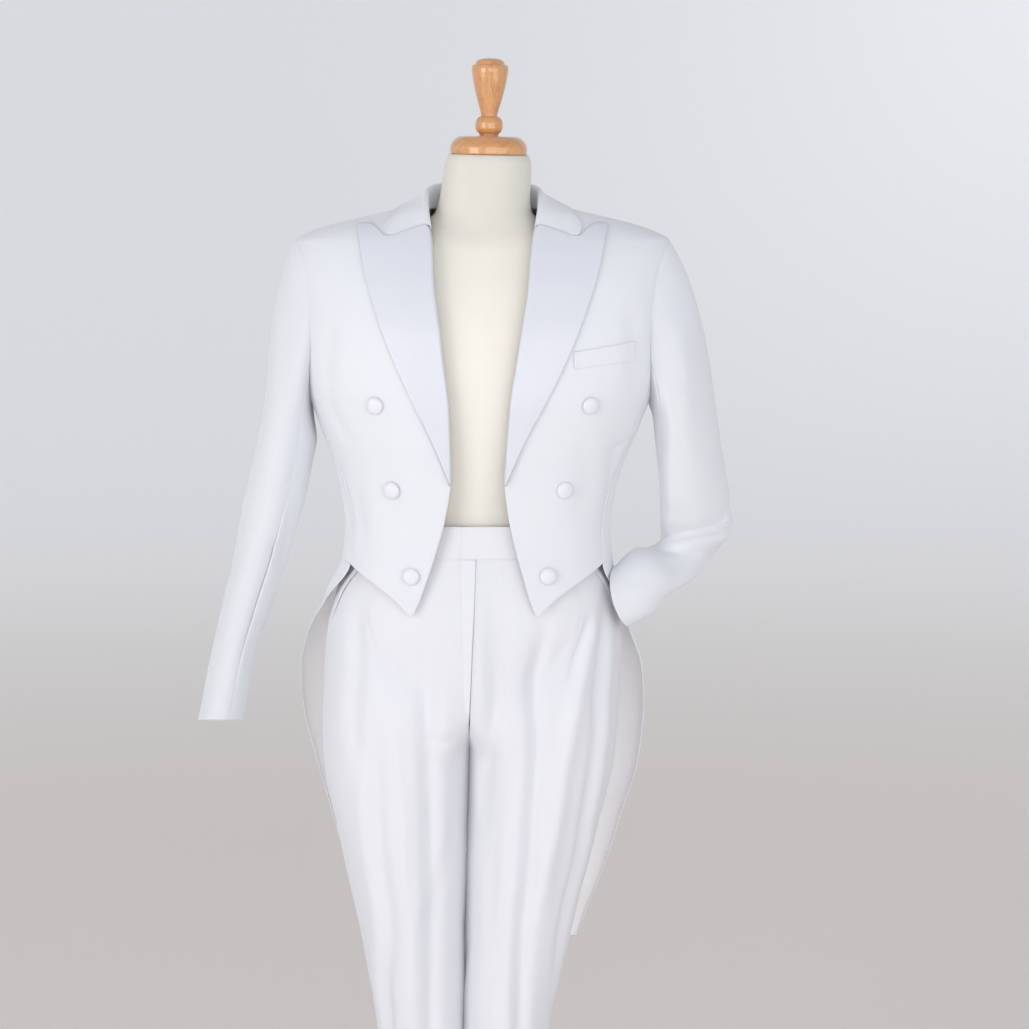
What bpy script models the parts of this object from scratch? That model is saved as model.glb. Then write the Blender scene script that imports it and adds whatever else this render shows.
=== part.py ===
"""A white tailcoat tuxedo, coat and trousers, on a limbless dress form with a stand.

Metres, +Z up. The wearer faces -Y and the wearer's left is +X. The origin is the middle
of the base's underside. Every sewn piece is its own wall of cloth, cut at its seams.
"""

import math

import bpy
import numpy as np

# Cloth
WALL = 0.0020           # coat and trouser cloth with its backing
SATIN = 0.0018          # lapels, collar and covered buttons
SEAM = 0.0003           # open line between two sewn pieces
SLEEVE_SEAM = 0.0008    # the same along a sleeve, which bends sharply at the elbow
LIFT = 0.0012           # what lies on a panel starts this far above it
BISECTIONS = 40         # halvings when a place on a surface is searched for

# Coat
WAIST_SEAM = 1.012      # height of the seam between the body and the tails
ARMHOLE_TOP = 1.420
ARMHOLE_BOTTOM = 1.215
ARMHOLE_FRONT = 0.064   # how far the armhole reaches forward and back of the side line
ARMHOLE_BACK = 0.068
ARMHOLE_STEPS = 18      # points round the armhole, and columns round a sleeve
FRONT_JOIN = 7          # armhole point where the forepart meets the side body
BACK_JOIN = 13          # armhole point where the side body meets the back
SIDE_SEAM_ANGLE = 66.0  # side seam of the forepart at the waist, degrees from the front
BACK_SEAM_ANGLE = 159.0
BACK_SEAM_BEND = 1.2    # how late the side body's back seam swings out to the armhole
ROLL_END = 1.120        # where the lapel ends and the front edge goes on alone
BODY_ROWS = 5
FOREPART_COLUMNS = 8
BACK_COLUMNS = 6
SKIRT_COLUMNS = 7
FRONT_DROPS = (1.0, 0.67, 0.33)     # rows of the forepart's point, from the hem up

# Collar
STAND_ENDS = 0.006      # height of the stand at the collar's front ends, and at the back
STAND_BACK = 0.030
COLLAR_REST = 0.0048    # the leaf's middle layer above the cloth that it lies on
GORGE = 0.0010          # room between the collar's ends and the lapels
LEAF_SHARES = (0.20, 0.38, 0.55, 0.72, 0.87, 1.0)
LEAF_DROP = 0.0016      # the leaf leaves the fold this far below its top, 0.06 of its width out
LEAF_START = 0.06

# Lapels
LAPEL_ROWS = (0.0, 0.11, 0.23, 0.36, 0.49, 0.61, 0.72, 0.82, 0.91, 0.96, 1.0)
GORGE_POWER = 9         # how near the top the lapel's rows take on the shape of the gorge
ROLL_INSET = 0.0004     # the lapel starts this far outside the forepart's edge

# Buttons
BUTTON_RADIUS = 0.0110
BUTTON_RIM = 0.0022
BUTTON_DOME = 0.0028

# Trousers
WAISTBAND_TOP = 1.065
WAISTBAND_SEAM = 1.024
CROTCH = 0.765
TROUSER_HEM = 0.035
FLY_LAP = 0.019         # how far the closing edge lies past the centre, at the waist
FLY_POINT = 0.004       # the same at its lower end
FLY_CURVE = 0.6
FLY_END = 0.824
FLY_INSET = 0.0006
FLY_ROWS = 8
LEVEL_FRONT = 0.90      # above this the front and back seams face straight ahead and back
LEG_BLEND_TOP = 0.960   # above this the trousers follow one round body
LEG_BLEND_END = 0.800   # below this each leg is its own tube

POCKET_WIDTH = 0.048    # width of a pocket's facing, as a share of the front panel's
POCKET_ROWS = 6

# Dress form and stand
CAP_BOTTOM = 1.5285
CAP_RADIUS = 0.0494
NECK_FOOT = 1.450       # above this the form's rings tip over with the neck cap
FORM_TILT = math.radians(1.1)
POLE_X = 0.043
POLE_Y = 0.012
POLE_RADIUS = 0.0127
BASE_RADIUS = 0.190
BASE_HEIGHT = 0.012
BASE_BEVEL = 0.003
SOCKET_RADIUS = 0.0185
SOCKET_FLANGE = 0.0213
FLANGE_HEIGHT = 0.004
SOCKET_HEIGHT = 0.034


def table(names, rows):
    """Columns by name, from rows that run down a table."""
    return {name: np.array(column, float) for name, column in zip(names.split(), zip(*rows))}


CENTRE_LINE = table("height x", [
    (0.030, -0.032),
    (0.400, -0.024),
    (0.820, -0.0135),
    (1.000, -0.006),
    (1.270, 0.000),
    (1.434, 0.0025),
    (1.530, 0.010),
    (1.650, 0.012),
])

# Level rings of the coat's outside. front, back and side_y are depths from the side plane.
COAT = table("height half_width front back side_y power", [
    (0.930, 0.184, 0.122, 0.126, 0.000, 2.40),
    (1.012, 0.1745, 0.119, 0.120, 0.000, 2.40),
    (1.060, 0.1705, 0.118, 0.114, 0.000, 2.40),
    (1.120, 0.181, 0.122, 0.117, 0.000, 2.40),
    (1.180, 0.203, 0.129, 0.125, 0.002, 2.40),
    (1.230, 0.220, 0.133, 0.132, 0.004, 2.40),
    (1.300, 0.232, 0.127, 0.137, 0.006, 2.40),
    (1.360, 0.240, 0.107, 0.128, 0.008, 2.40),
    (1.400, 0.2425, 0.084, 0.114, 0.010, 2.35),
    (1.420, 0.2390, 0.069, 0.105, 0.012, 2.30),
    (1.431, 0.218, 0.060, 0.099, 0.013, 2.25),
    (1.441, 0.186, 0.052, 0.094, 0.014, 2.20),
    (1.452, 0.141, 0.043, 0.088, 0.016, 2.20),
    (1.463, 0.096, 0.033, 0.083, 0.017, 2.20),
])

# Outlines on the front, as distances from the centre line
FRONT_EDGE = table("height x", [
    (0.951, 0.0805),
    (0.960, 0.0745),
    (1.000, 0.0605),
    (1.035, 0.0500),
    (1.070, 0.0410),
    (1.100, 0.0360),
    (1.120, 0.0335),
    (1.170, 0.0352),
    (1.220, 0.0378),
    (1.270, 0.0447),
    (1.317, 0.0510),
    (1.367, 0.0585),
    (1.400, 0.0610),
    (1.434, 0.0650),
    (1.442, 0.0715),
    (1.452, 0.0785),
    (1.463, 0.0800),
])
HEM = table("across height", [
    (0.00, 0.951),
    (0.18, 0.971),
    (0.45, 0.989),
    (0.75, 1.003),
    (1.00, WAIST_SEAM),
])
LAPEL_EDGE = table("height x", [
    (1.120, 0.0350),
    (1.138, 0.0423),
    (1.170, 0.0560),
    (1.206, 0.0738),
    (1.250, 0.0957),
    (1.283, 0.1108),
    (1.3165, 0.1243),
    (1.3575, 0.1385),
    (1.387, 0.1472),
    (1.417, 0.1535),
    (1.441, 0.1577),
])
# Top of the lapel from the roll line, along the gorge to the notch and out to the peak
LAPEL_TOP = table("x height", [
    (0.0655, 1.4400),
    (0.0780, 1.4370),
    (0.0900, 1.4335),
    (0.1000, 1.4300),
    (0.1100, 1.4268),
    (0.1200, 1.4265),
    (0.1285, 1.4340),
    (0.1420, 1.4412),
    (0.1575, 1.4410),
])
# The collar's stand and fold: away from the fold line, share of the stand below its top, drop
COLLAR_FOLD = table("away stand drop", [
    (-0.0010, 1.00, 0.0),
    (-0.0006, 0.45, 0.0),
    (0.0008, 0.00, 0.0012),
    (0.0034, 0.00, 0.0),
])
# Half of the collar from its front end to the middle of the back, as seen from above.
# fold is the top of the roll and leaf is the outer edge.
COLLAR = table("fold_x fold_y fold_height leaf_x leaf_y", [
    (0.0665, -0.0490, 1.4420, 0.1265, -0.0420),
    (0.0690, -0.0300, 1.4590, 0.1150, -0.0200),
    (0.0705, -0.0080, 1.4735, 0.1100, 0.0050),
    (0.0700, 0.0160, 1.4830, 0.1050, 0.0350),
    (0.0620, 0.0430, 1.4885, 0.0920, 0.0700),
    (0.0460, 0.0640, 1.4910, 0.0700, 0.0930),
    (0.0240, 0.0755, 1.4925, 0.0370, 0.1050),
    (0.0000, 0.0785, 1.4930, 0.0000, 0.1080),
])
WELT = table("x height", [
    (0.117, 1.265),
    (0.194, 1.273),
    (0.194, 1.2975),
    (0.117, 1.2865),
])
BUTTONS = table("right_x left_x height", [
    (0.1300, 0.1385, 1.219),
    (0.1077, 0.1090, 1.1115),
    (0.0810, 0.0910, 1.003),
])

# A covered button's outline, as shares of its radius, its rim and its dome
BUTTON_PROFILE = table("radius rim dome", [
    (0.00, 0.00, 0.00),
    (0.90, 0.00, 0.00),
    (1.00, 0.45, 0.00),
    (0.97, 1.00, 0.00),
    (0.70, 1.00, 0.62),
    (0.35, 1.00, 0.93),
    (0.00, 1.00, 1.00),
])

# Tails: the front edge of each skirt, and the depth of the back at the centre vent
TAILS = table("height right_edge right_y left_edge left_y back power", [
    (0.470, 0.134, 0.138, 0.150, 0.138, 0.160, 2.00),
    (0.510, 0.145, 0.134, 0.162, 0.134, 0.160, 2.00),
    (0.574, 0.163, 0.126, 0.185, 0.126, 0.160, 2.05),
    (0.650, 0.184, 0.113, 0.206, 0.113, 0.160, 2.10),
    (0.726, 0.205, 0.092, 0.224, 0.094, 0.160, 2.15),
    (0.800, 0.222, 0.070, 0.229, 0.077, 0.159, 2.20),
    (0.860, 0.2255, 0.050, 0.222, 0.064, 0.156, 2.25),
    (0.913, 0.216, 0.028, 0.202, 0.055, 0.148, 2.30),
    (0.963, 0.193, -0.006, 0.1885, 0.036, 0.136, 2.35),
    (1.012, 0.1745, -0.040, 0.1745, -0.020, 0.120, 2.40),
])
TAIL_SEAM = 0.60        # share of the way from the front edge to the vent where the skirt ends
TAIL_SEAM_DROP = 0.15   # the seam reaches that share this far below the waist seam
TAIL_BLEND = 0.085      # the tails hang free this far below the waist seam
TAIL_ROWS = (0.470, 0.545, 0.620, 0.695, 0.765, 0.825, 0.875, 0.920, 0.955, 0.985, WAIST_SEAM)
VENT = 0.0020           # half of the opening between the tails
TAIL_FLARE = {"right": 0.16, "left": 0.08}     # how much each tail widens over the hip,
FLARE_DROP = 0.062      # this far below the waist seam

# Sleeve stations below the armhole: centre, half sizes, and how the oval is turned
SLEEVE_COLUMNS = "x y height across along turn dip"
RIGHT_SLEEVE = table(SLEEVE_COLUMNS, [
    (0.2510, 0.007, 1.155, 0.0385, 0.066, 0.0, 0.0),
    (0.2665, 0.011, 1.085, 0.0395, 0.064, 0.0, 1.0),
    (0.2835, 0.011, 1.020, 0.0355, 0.061, 0.0, 3.0),
    (0.3015, 0.004, 0.955, 0.0330, 0.058, 0.0, 7.0),
    (0.3215, -0.009, 0.880, 0.0290, 0.055, 0.0, 10.0),
    (0.3370, -0.025, 0.802, 0.0290, 0.052, 0.0, 12.0),
])
LEFT_SLEEVE = table(SLEEVE_COLUMNS, [
    (0.2664, 0.016, 1.1664, 0.0390, 0.0657, 20.0, 0.0),
    (0.2781, 0.034, 1.0775, 0.0380, 0.0615, 34.0, -4.0),
    (0.2809, 0.050, 1.0344, 0.0380, 0.0558, 45.0, -4.0),
    (0.2590, 0.042, 1.0130, 0.0360, 0.0480, 50.0, 10.0),
    (0.2405, 0.0205, 1.0010, 0.0365, 0.0436, 62.0, 32.0),
    (0.2208, -0.004, 0.9934, 0.0395, 0.0373, 76.0, 53.0),
    (0.2002, -0.020, 0.9762, 0.0400, 0.0410, 92.0, 65.0),
    (0.1805, -0.030, 0.9640, 0.0395, 0.0385, 108.0, 73.0),
])
CAP_ROWS = 4            # rows between the armhole and the first station
FRONT_COLUMN = 6        # columns where the sleeve's front and hind seams run
HIND_COLUMN = 13
HEAD_FALL = 0.8         # how steeply a sleeve leaves the armhole, and how far it flares there
HEAD_FLARE = 0.10
RIGHT_HEAD = (0.22, 0.30)       # how far a sleeve leaves the armhole sideways, below and on top
LEFT_HEAD = (0.27, 0.37)

# Trousers: rings of the whole body above, and of each leg below. inner is the leg's
# distance from the centre line, and inner_power how square its inner half is.
TROUSERS = table("height half_width front back side_y power inner inner_power", [
    (0.035, 0.1035, 0.062, 0.100, 0.020, 2.1, 0.0012, 3.0),
    (0.170, 0.1050, 0.064, 0.098, 0.018, 2.1, 0.0011, 3.0),
    (0.280, 0.1080, 0.068, 0.098, 0.016, 2.1, 0.0010, 3.0),
    (0.380, 0.1140, 0.074, 0.100, 0.014, 2.1, 0.0009, 3.1),
    (0.465, 0.1280, 0.081, 0.105, 0.012, 2.1, 0.0009, 3.2),
    (0.565, 0.1490, 0.090, 0.112, 0.011, 2.1, 0.0008, 3.3),
    (0.663, 0.1715, 0.099, 0.120, 0.010, 2.2, 0.0008, 3.5),
    (0.751, 0.1890, 0.106, 0.128, 0.010, 2.2, 0.0006, 4.2),
    (0.810, 0.1920, 0.110, 0.133, 0.010, 2.3, 0.0002, 5.5),
    (0.860, 0.1920, 0.113, 0.134, 0.009, 2.3, 0.0002, 9.0),
    (0.910, 0.1902, 0.113, 0.128, 0.007, 2.3, 0.0002, 12.0),
    (0.970, 0.1800, 0.110, 0.116, 0.003, 2.3, 0.0002, 12.0),
    (1.024, 0.1565, 0.1055, 0.103, 0.000, 2.3, 0.0002, 12.0),
    (1.065, 0.1510, 0.1030, 0.0985, 0.000, 2.3, 0.0002, 12.0),
])
# How far round its inner quarter each leg panel runs before it reaches the crotch seam
CROTCH_SEAM = table("height front_turn back_turn", [
    (CROTCH, 90.0, 90.0),
    (0.785, 66.0, 70.0),
    (0.810, 40.0, 46.0),
    (0.840, 14.0, 20.0),
    (0.870, 3.0, 5.0),
    (1.065, 3.0, 5.0),
])
TROUSER_ROWS = (0.035, 0.130, 0.240, 0.350, 0.450, 0.550, 0.640, 0.715, CROTCH, 0.785, 0.810,
                0.840, 0.875, 0.920, 0.970, WAISTBAND_SEAM)
PLEAT_ANGLE = 0.62      # share of the way from the side seam to the centre
PLEAT_DEPTH = 0.0050
PLEAT_WIDTH = 0.085
PLEAT_END = 0.62
POCKET = table("across height", [
    (0.288, 1.020),
    (0.030, 0.900),
])

TORSO = table("height half_width front back side_y power", [
    (0.845, 0.168, 0.096, 0.112, 0.008, 2.3),
    (0.900, 0.168, 0.098, 0.112, 0.006, 2.3),
    (0.970, 0.156, 0.096, 0.102, 0.003, 2.3),
    (1.030, 0.142, 0.092, 0.090, 0.000, 2.3),
    (1.065, 0.138, 0.091, 0.087, 0.000, 2.3),
    (1.120, 0.150, 0.101, 0.094, 0.000, 2.3),
    (1.180, 0.172, 0.112, 0.105, 0.002, 2.3),
    (1.240, 0.190, 0.118, 0.115, 0.004, 2.3),
    (1.300, 0.200, 0.111, 0.118, 0.006, 2.3),
    (1.350, 0.203, 0.094, 0.110, 0.008, 2.3),
    (1.390, 0.197, 0.072, 0.096, 0.010, 2.3),
    (1.410, 0.180, 0.060, 0.088, 0.011, 2.3),
    (1.423, 0.146, 0.054, 0.083, 0.012, 2.2),
    (1.433, 0.108, 0.050, 0.078, 0.012, 2.1),
    (1.443, 0.078, 0.048, 0.073, 0.012, 2.0),
    (1.456, 0.0615, 0.046, 0.069, 0.011, 2.0),
    (1.476, 0.0575, 0.0455, 0.0675, 0.011, 2.0),
    (1.505, 0.0560, 0.0450, 0.0670, 0.011, 2.0),
    (1.520, 0.0545, 0.0435, 0.0655, 0.011, 2.0),
    (CAP_BOTTOM - SEAM, 0.0505, 0.0395, 0.0615, 0.011, 2.0),
])
TORSO_COLUMNS = 28

CAP_PROFILE = table("radius rise", [
    (0.0000, 0.0000),
    (0.0480, 0.0000),
    (CAP_RADIUS, 0.0015),
    (CAP_RADIUS, 0.0085),
    (0.0478, 0.0135),
    (0.0440, 0.0185),
    (0.0385, 0.0220),
    (0.0350, 0.0228),
    (0.0000, 0.0228),
])
FINIAL_PROFILE = table("radius rise", [
    (0.0000, 0.0231),
    (0.0123, 0.0231),
    (0.0123, 0.0252),
    (0.0155, 0.0285),
    (0.0175, 0.0340),
    (0.0175, 0.0390),
    (0.0155, 0.0450),
    (0.0120, 0.0478),
    (0.0104, 0.0486),
    (0.0112, 0.0530),
    (0.0150, 0.0660),
    (0.0195, 0.0830),
    (0.0225, 0.0990),
    (0.0235, 0.1070),
    (0.0228, 0.1115),
    (0.0185, 0.1145),
    (0.0180, 0.1165),
    (0.0140, 0.1195),
    (0.0000, 0.1215),
])
TURNED_SIDES = 24

COAT_WHITE = (0.84, 0.86, 0.90)
SATIN_WHITE = (0.80, 0.81, 0.87)
TROUSER_WHITE = (0.86, 0.86, 0.91)
FORM_CREAM = (0.83, 0.82, 0.70)
WOOD = (0.62, 0.33, 0.14)
STEEL = (0.62, 0.62, 0.62)


def at(rows, name, height, key="height"):
    """A table's column at a height, on a smooth curve that never overshoots its rows."""
    x, y = rows[key], rows[name]
    if len(x) < 3:
        return np.interp(height, x, y)
    slope = np.diff(y) / np.diff(x)
    same = slope[:-1] * slope[1:] > 0
    tangent = np.zeros(len(x))
    inner = np.zeros(len(x) - 2)
    inner[same] = 2 * slope[:-1][same] * slope[1:][same] / (slope[:-1] + slope[1:])[same]
    tangent[1:-1] = inner
    tangent[0], tangent[-1] = slope[0], slope[-1]
    height = np.clip(height, x[0], x[-1])
    i = np.clip(np.searchsorted(x, height, side="right") - 1, 0, len(x) - 2)
    step = x[i + 1] - x[i]
    t = (height - x[i]) / step
    rise = y[i] * (1 + 2 * t) * (1 - t) ** 2 + y[i + 1] * t * t * (3 - 2 * t)
    return rise + step * (tangent[i] * t * (1 - t) ** 2 - tangent[i + 1] * t * t * (1 - t))


def smooth_step(share):
    """From 0 to 1 with a level start and end."""
    share = np.clip(share, 0.0, 1.0)
    return share * share * (3 - 2 * share)


def centre_x(height):
    return at(CENTRE_LINE, "x", height)


def ring_point(rings, angle, height, side):
    """A point on a ring: 0 degrees is the middle front, 90 the side, 180 the middle back."""
    power = at(rings, "power", height)
    side_y = at(rings, "side_y", height)
    front = at(rings, "front", height)
    back = at(rings, "back", height)
    out = abs(math.sin(math.radians(angle))) ** (2 / power) * math.copysign(1, angle)
    forward = math.cos(math.radians(angle))
    depth = abs(forward) ** (2 / power)
    y = side_y - (front + side_y) * depth if forward >= 0 else side_y + (back - side_y) * depth
    return np.array([centre_x(height) + side * at(rings, "half_width", height) * out, y, height])


def ring_angle(rings, x, height, back=False):
    """The angle at which a ring is x wide of the centre line."""
    share = min(max(x / at(rings, "half_width", height), 0.0), 1.0)
    angle = math.degrees(math.asin(share ** (at(rings, "power", height) / 2)))
    return 180 - angle if back else angle


def unit(vector):
    return vector / max(np.linalg.norm(vector), 1e-9)


def surface_normal(surface, u, v, du, dv, outward):
    """The normal of surface(u, v), turned to the side that outward is on."""
    across = surface(u + du, v) - surface(u - du, v)
    along = surface(u, v + dv) - surface(u, v - dv)
    normal = unit(np.cross(across, along))
    return normal if normal @ outward >= 0 else -normal


def coat_point(side, angle, height, lift=0.0):
    """A point of the coat's outside, moved out by lift."""
    point = ring_point(COAT, angle, height, side)
    if not lift:
        return point
    return point + lift * coat_normal(side, angle, height)


def coat_normal(side, angle, height):
    angle = min(max(angle, 0.6), 179.4)     # the middle itself has no direction across
    here = ring_point(COAT, angle, height, side)
    outward = here - np.array([centre_x(height), at(COAT, "side_y", height), height - 0.02])
    return surface_normal(lambda a, h: ring_point(COAT, a, h, side),
                          angle, height, 0.5, 0.0015, outward)


def front_point(side, x, height, lift):
    """A point on the coat's front, x wide of the centre line and moved out by lift."""
    return coat_point(side, ring_angle(COAT, x, height), height, lift)


def make_object(name, vertices, faces, colour, roughness, metallic=0.0):
    mesh = bpy.data.meshes.new(name)
    mesh.from_pydata([tuple(float(c) for c in v) for v in vertices], [], faces)
    mesh.validate()
    mesh.shade_smooth()
    mesh.set_sharp_from_angle(angle=math.radians(40))
    material = bpy.data.materials.new(name)
    material.use_nodes = True
    shader = material.node_tree.nodes["Principled BSDF"]
    shader.inputs["Base Color"].default_value = (*colour, 1.0)
    shader.inputs["Roughness"].default_value = roughness
    shader.inputs["Metallic"].default_value = metallic
    mesh.materials.append(material)
    obj = bpy.data.objects.new(name, mesh)
    bpy.context.scene.collection.objects.link(obj)
    return obj


def pull_in(grid, edge, distance):
    """Moves one edge of a grid towards its next line of points."""
    line = {"first": (slice(None), 0, 1), "last": (slice(None), -1, -2),
            "bottom": (0, slice(None), 1), "top": (-1, slice(None), -2)}[edge]
    if edge in ("first", "last"):
        here, there = grid[:, line[1]], grid[:, line[2]]
    else:
        here, there = grid[line[0]], grid[line[2]]
    way = there - here
    length = np.maximum(np.linalg.norm(way, axis=1, keepdims=True), 1e-9)
    here += way / length * distance


def wall(name, outside, normals, colour, thickness=WALL, seams=(), roughness=0.8, gap=SEAM):
    """A sewn piece: a grid of outer points, backed by the same grid a thickness inside."""
    outer = np.array(outside, float)
    inner = outer - np.array(normals, float) * thickness
    for edge in seams:
        pull_in(outer, edge, gap / 2)
        pull_in(inner, edge, gap / 2)
    rows, columns = outer.shape[:2]
    count = rows * columns
    faces = []
    for r in range(rows - 1):
        for c in range(columns - 1):
            a, b = r * columns + c, r * columns + c + 1
            d, e = a + columns, b + columns
            faces.append((a, b, e, d))
            faces.append((count + a, count + d, count + e, count + b))
    rim = list(range(columns))
    rim += [r * columns + columns - 1 for r in range(1, rows)]
    rim += [(rows - 1) * columns + c for c in range(columns - 2, -1, -1)]
    rim += [r * columns for r in range(rows - 2, 0, -1)]
    for here, there in zip(rim, rim[1:] + rim[:1]):
        faces.append((there, here, count + here, count + there))
    middle = (rows // 2, columns // 2)
    facing = np.cross(outer[middle[0], middle[1]] - outer[middle[0], middle[1] - 1],
                      outer[middle[0], middle[1]] - outer[middle[0] - 1, middle[1]])
    if facing @ np.array(normals)[middle] < 0:
        faces = [face[::-1] for face in faces]
    points = np.concatenate([outer.reshape(-1, 3), inner.reshape(-1, 3)])
    return make_object(name, points, faces, colour, roughness)


def armhole(side, step):
    """Angle, height and place of one of the points round the armhole, from the top forward."""
    turn = 2 * math.pi * step / ARMHOLE_STEPS
    height = (ARMHOLE_TOP + ARMHOLE_BOTTOM) / 2
    height += (ARMHOLE_TOP - ARMHOLE_BOTTOM) / 2 * math.cos(turn)
    side_y = at(COAT, "side_y", height)
    forward = math.sin(turn) >= 0
    reach = abs(math.sin(turn)) * (ARMHOLE_FRONT if forward else ARMHOLE_BACK)
    depth = at(COAT, "front", height) + side_y if forward else at(COAT, "back", height) - side_y
    angle = math.degrees(math.acos(min((reach / depth) ** (at(COAT, "power", height) / 2), 1)))
    angle = angle if forward else 180 - angle
    return angle, height, coat_point(side, angle, height)


def seam_heights(join):
    """Row heights between the waist seam and an armhole point."""
    top = armhole(1, join)[1]
    return [WAIST_SEAM + (top - WAIST_SEAM) * i / BODY_ROWS for i in range(BODY_ROWS + 1)]


def side_body_angle(share, row):
    """Angle of the side body at a share of its width and a row above the waist seam."""
    step = FRONT_JOIN + share * (BACK_JOIN - FRONT_JOIN)
    low = SIDE_SEAM_ANGLE + share * (BACK_SEAM_ANGLE - SIDE_SEAM_ANGLE)
    rise = (row / BODY_ROWS) ** (1 + BACK_SEAM_BEND * share)
    return low + (armhole(1, step)[0] - low) * rise


def shoulder_heights():
    return [h for h in COAT["height"] if h > ARMHOLE_TOP]


def build_panel(name, side, rows, seams, colour=COAT_WHITE):
    """A coat panel from rows of (angle, height) pairs."""
    points = [[coat_point(side, a, h) for a, h in row] for row in rows]
    normals = [[coat_normal(side, a, h) for a, h in row] for row in rows]
    wall(name, points, normals, colour, seams=seams)


def build_forepart(name, side):
    rows = []
    body = seam_heights(FRONT_JOIN)
    for drop in FRONT_DROPS:
        row = []
        for i in range(FOREPART_COLUMNS + 1):
            share = i / FOREPART_COLUMNS
            height = body[1] - drop * (body[1] - at(HEM, "height", share, "across"))
            first = body[1] - drop * (body[1] - HEM["height"][0])
            front = ring_angle(COAT, at(FRONT_EDGE, "x", first), first)
            last = side_body_angle(0, 1 - drop)
            row.append((front + (last - front) * share, height))
        rows.append(row)
    for i, height in enumerate(body[1:], 1):
        rows.append(panel_row(height, side_body_angle(0, i)))
    for step in range(FRONT_JOIN - 1, -1, -1):
        angle, height, _ = armhole(side, step)
        rows.append(panel_row(height, angle))
    for height in shoulder_heights():
        rows.append(panel_row(height, 90.0))
    build_panel(name, side, rows, ("last",))


def panel_row(height, last):
    """A row of the forepart, from the front edge to its last angle."""
    first = ring_angle(COAT, at(FRONT_EDGE, "x", height), height)
    return [(first + (last - first) * i / FOREPART_COLUMNS, height)
            for i in range(FOREPART_COLUMNS + 1)]


def build_side_body(name, side):
    rows = []
    steps = BACK_JOIN - FRONT_JOIN
    for i in range(BODY_ROWS + 1):
        row = []
        for j in range(steps + 1):
            top = armhole(side, FRONT_JOIN + j)[1]
            height = WAIST_SEAM + (top - WAIST_SEAM) * i / BODY_ROWS
            row.append((side_body_angle(j / steps, i), height))
        rows.append(row)
    build_panel(name, side, rows, ("first", "last", "bottom"))


def tail_point(side, share, height):
    """Outside of the tails: share runs from the front edge of the skirt to the centre vent."""
    hand = "left" if side > 0 else "right"
    edge = at(TAILS, f"{hand}_edge", height)
    edge_y = at(TAILS, f"{hand}_y", height)
    power = at(TAILS, "power", height)
    turn = math.pi / 2 * (1 - share)
    out = edge * math.sin(turn) ** (2 / power)
    y = edge_y + (at(TAILS, "back", height) - edge_y) * math.cos(turn) ** (2 / power)
    hanging = np.array([centre_x(height) + side * max(out, VENT), y, height])
    angle = SIDE_SEAM_ANGLE + (180 - SIDE_SEAM_ANGLE) * share
    fitted = ring_point(COAT, angle, height, side)
    flare = 1 + TAIL_FLARE[hand] * smooth_step((WAIST_SEAM - height) / FLARE_DROP)
    wide = side * (fitted[0] - centre_x(height)) * flare
    fitted[0] = centre_x(height) + side * max(wide, SEAM / 2)
    blend = smooth_step((WAIST_SEAM - height) / TAIL_BLEND)
    return fitted + (hanging - fitted) * blend


def tail_normal(side, share, height):
    share = min(max(share, 0.004), 0.996)
    here = tail_point(side, share, height)
    outward = here - np.array([centre_x(height), 0.0, height])
    return surface_normal(lambda s, h: tail_point(side, s, h), share, height, 0.003, 0.002, outward)


def tail_share(angle):
    return (angle - SIDE_SEAM_ANGLE) / (180 - SIDE_SEAM_ANGLE)


def seam_share(height):
    """Where the skirt meets the tail, from the side body's back seam at the waist."""
    top = tail_share(BACK_SEAM_ANGLE)
    return top + (TAIL_SEAM - top) * smooth_step((WAIST_SEAM - height) / TAIL_SEAM_DROP)


def build_skirt(name, side):
    points, normals = [], []
    for height in TAIL_ROWS:
        shares = [seam_share(height) * i / SKIRT_COLUMNS for i in range(SKIRT_COLUMNS + 1)]
        points.append([tail_point(side, s, height) for s in shares])
        normals.append([tail_normal(side, s, height) for s in shares])
    wall(name, points, normals, COAT_WHITE, seams=("last", "top"))


def build_back(name, side):
    """Half of the back, in one with the tail below it."""
    points, normals = [], []
    for height in TAIL_ROWS[:-1]:
        first = seam_share(height)
        shares = [first + (1 - first) * i / BACK_COLUMNS for i in range(BACK_COLUMNS + 1)]
        points.append([tail_point(side, s, height) for s in shares])
        normals.append([tail_normal(side, s, height) for s in shares])
    rows = []
    for i, height in enumerate(seam_heights(BACK_JOIN)):
        rows.append((side_body_angle(1, i), height))
    for step in range(BACK_JOIN + 1, ARMHOLE_STEPS + 1):
        angle, height, _ = armhole(side, step)
        rows.append((90.0 if step == ARMHOLE_STEPS else angle, height))
    rows += [(90.0, height) for height in shoulder_heights()]
    for first, height in rows:
        angles = [first + (180 - first) * i / BACK_COLUMNS for i in range(BACK_COLUMNS + 1)]
        row = [coat_point(side, a, height) for a in angles]
        row[-1][0] = centre_x(height) + side * SEAM / 2
        points.append(row)
        normals.append([coat_normal(side, a, height) for a in angles])
    for row in normals:
        row[-1] = unit(row[-1] * np.array([0.0, 1.0, 1.0]))
    wall(name, points, normals, COAT_WHITE, seams=("first",))


def station_frame(sleeve, i, side):
    """Centre of a sleeve station, and the two half axes of its oval."""
    turn = math.radians(sleeve["turn"][i])
    dip = math.radians(sleeve["dip"][i])
    out = np.array([side * math.cos(turn), -math.sin(turn), 0.0])
    fore = np.array([-side * math.sin(turn) * math.cos(dip), -math.cos(turn) * math.cos(dip),
                     math.sin(dip)])
    centre = np.array([side * sleeve["x"][i], sleeve["y"][i], sleeve["height"][i]])
    return centre, out * sleeve["across"][i], fore * sleeve["along"][i]


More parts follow.
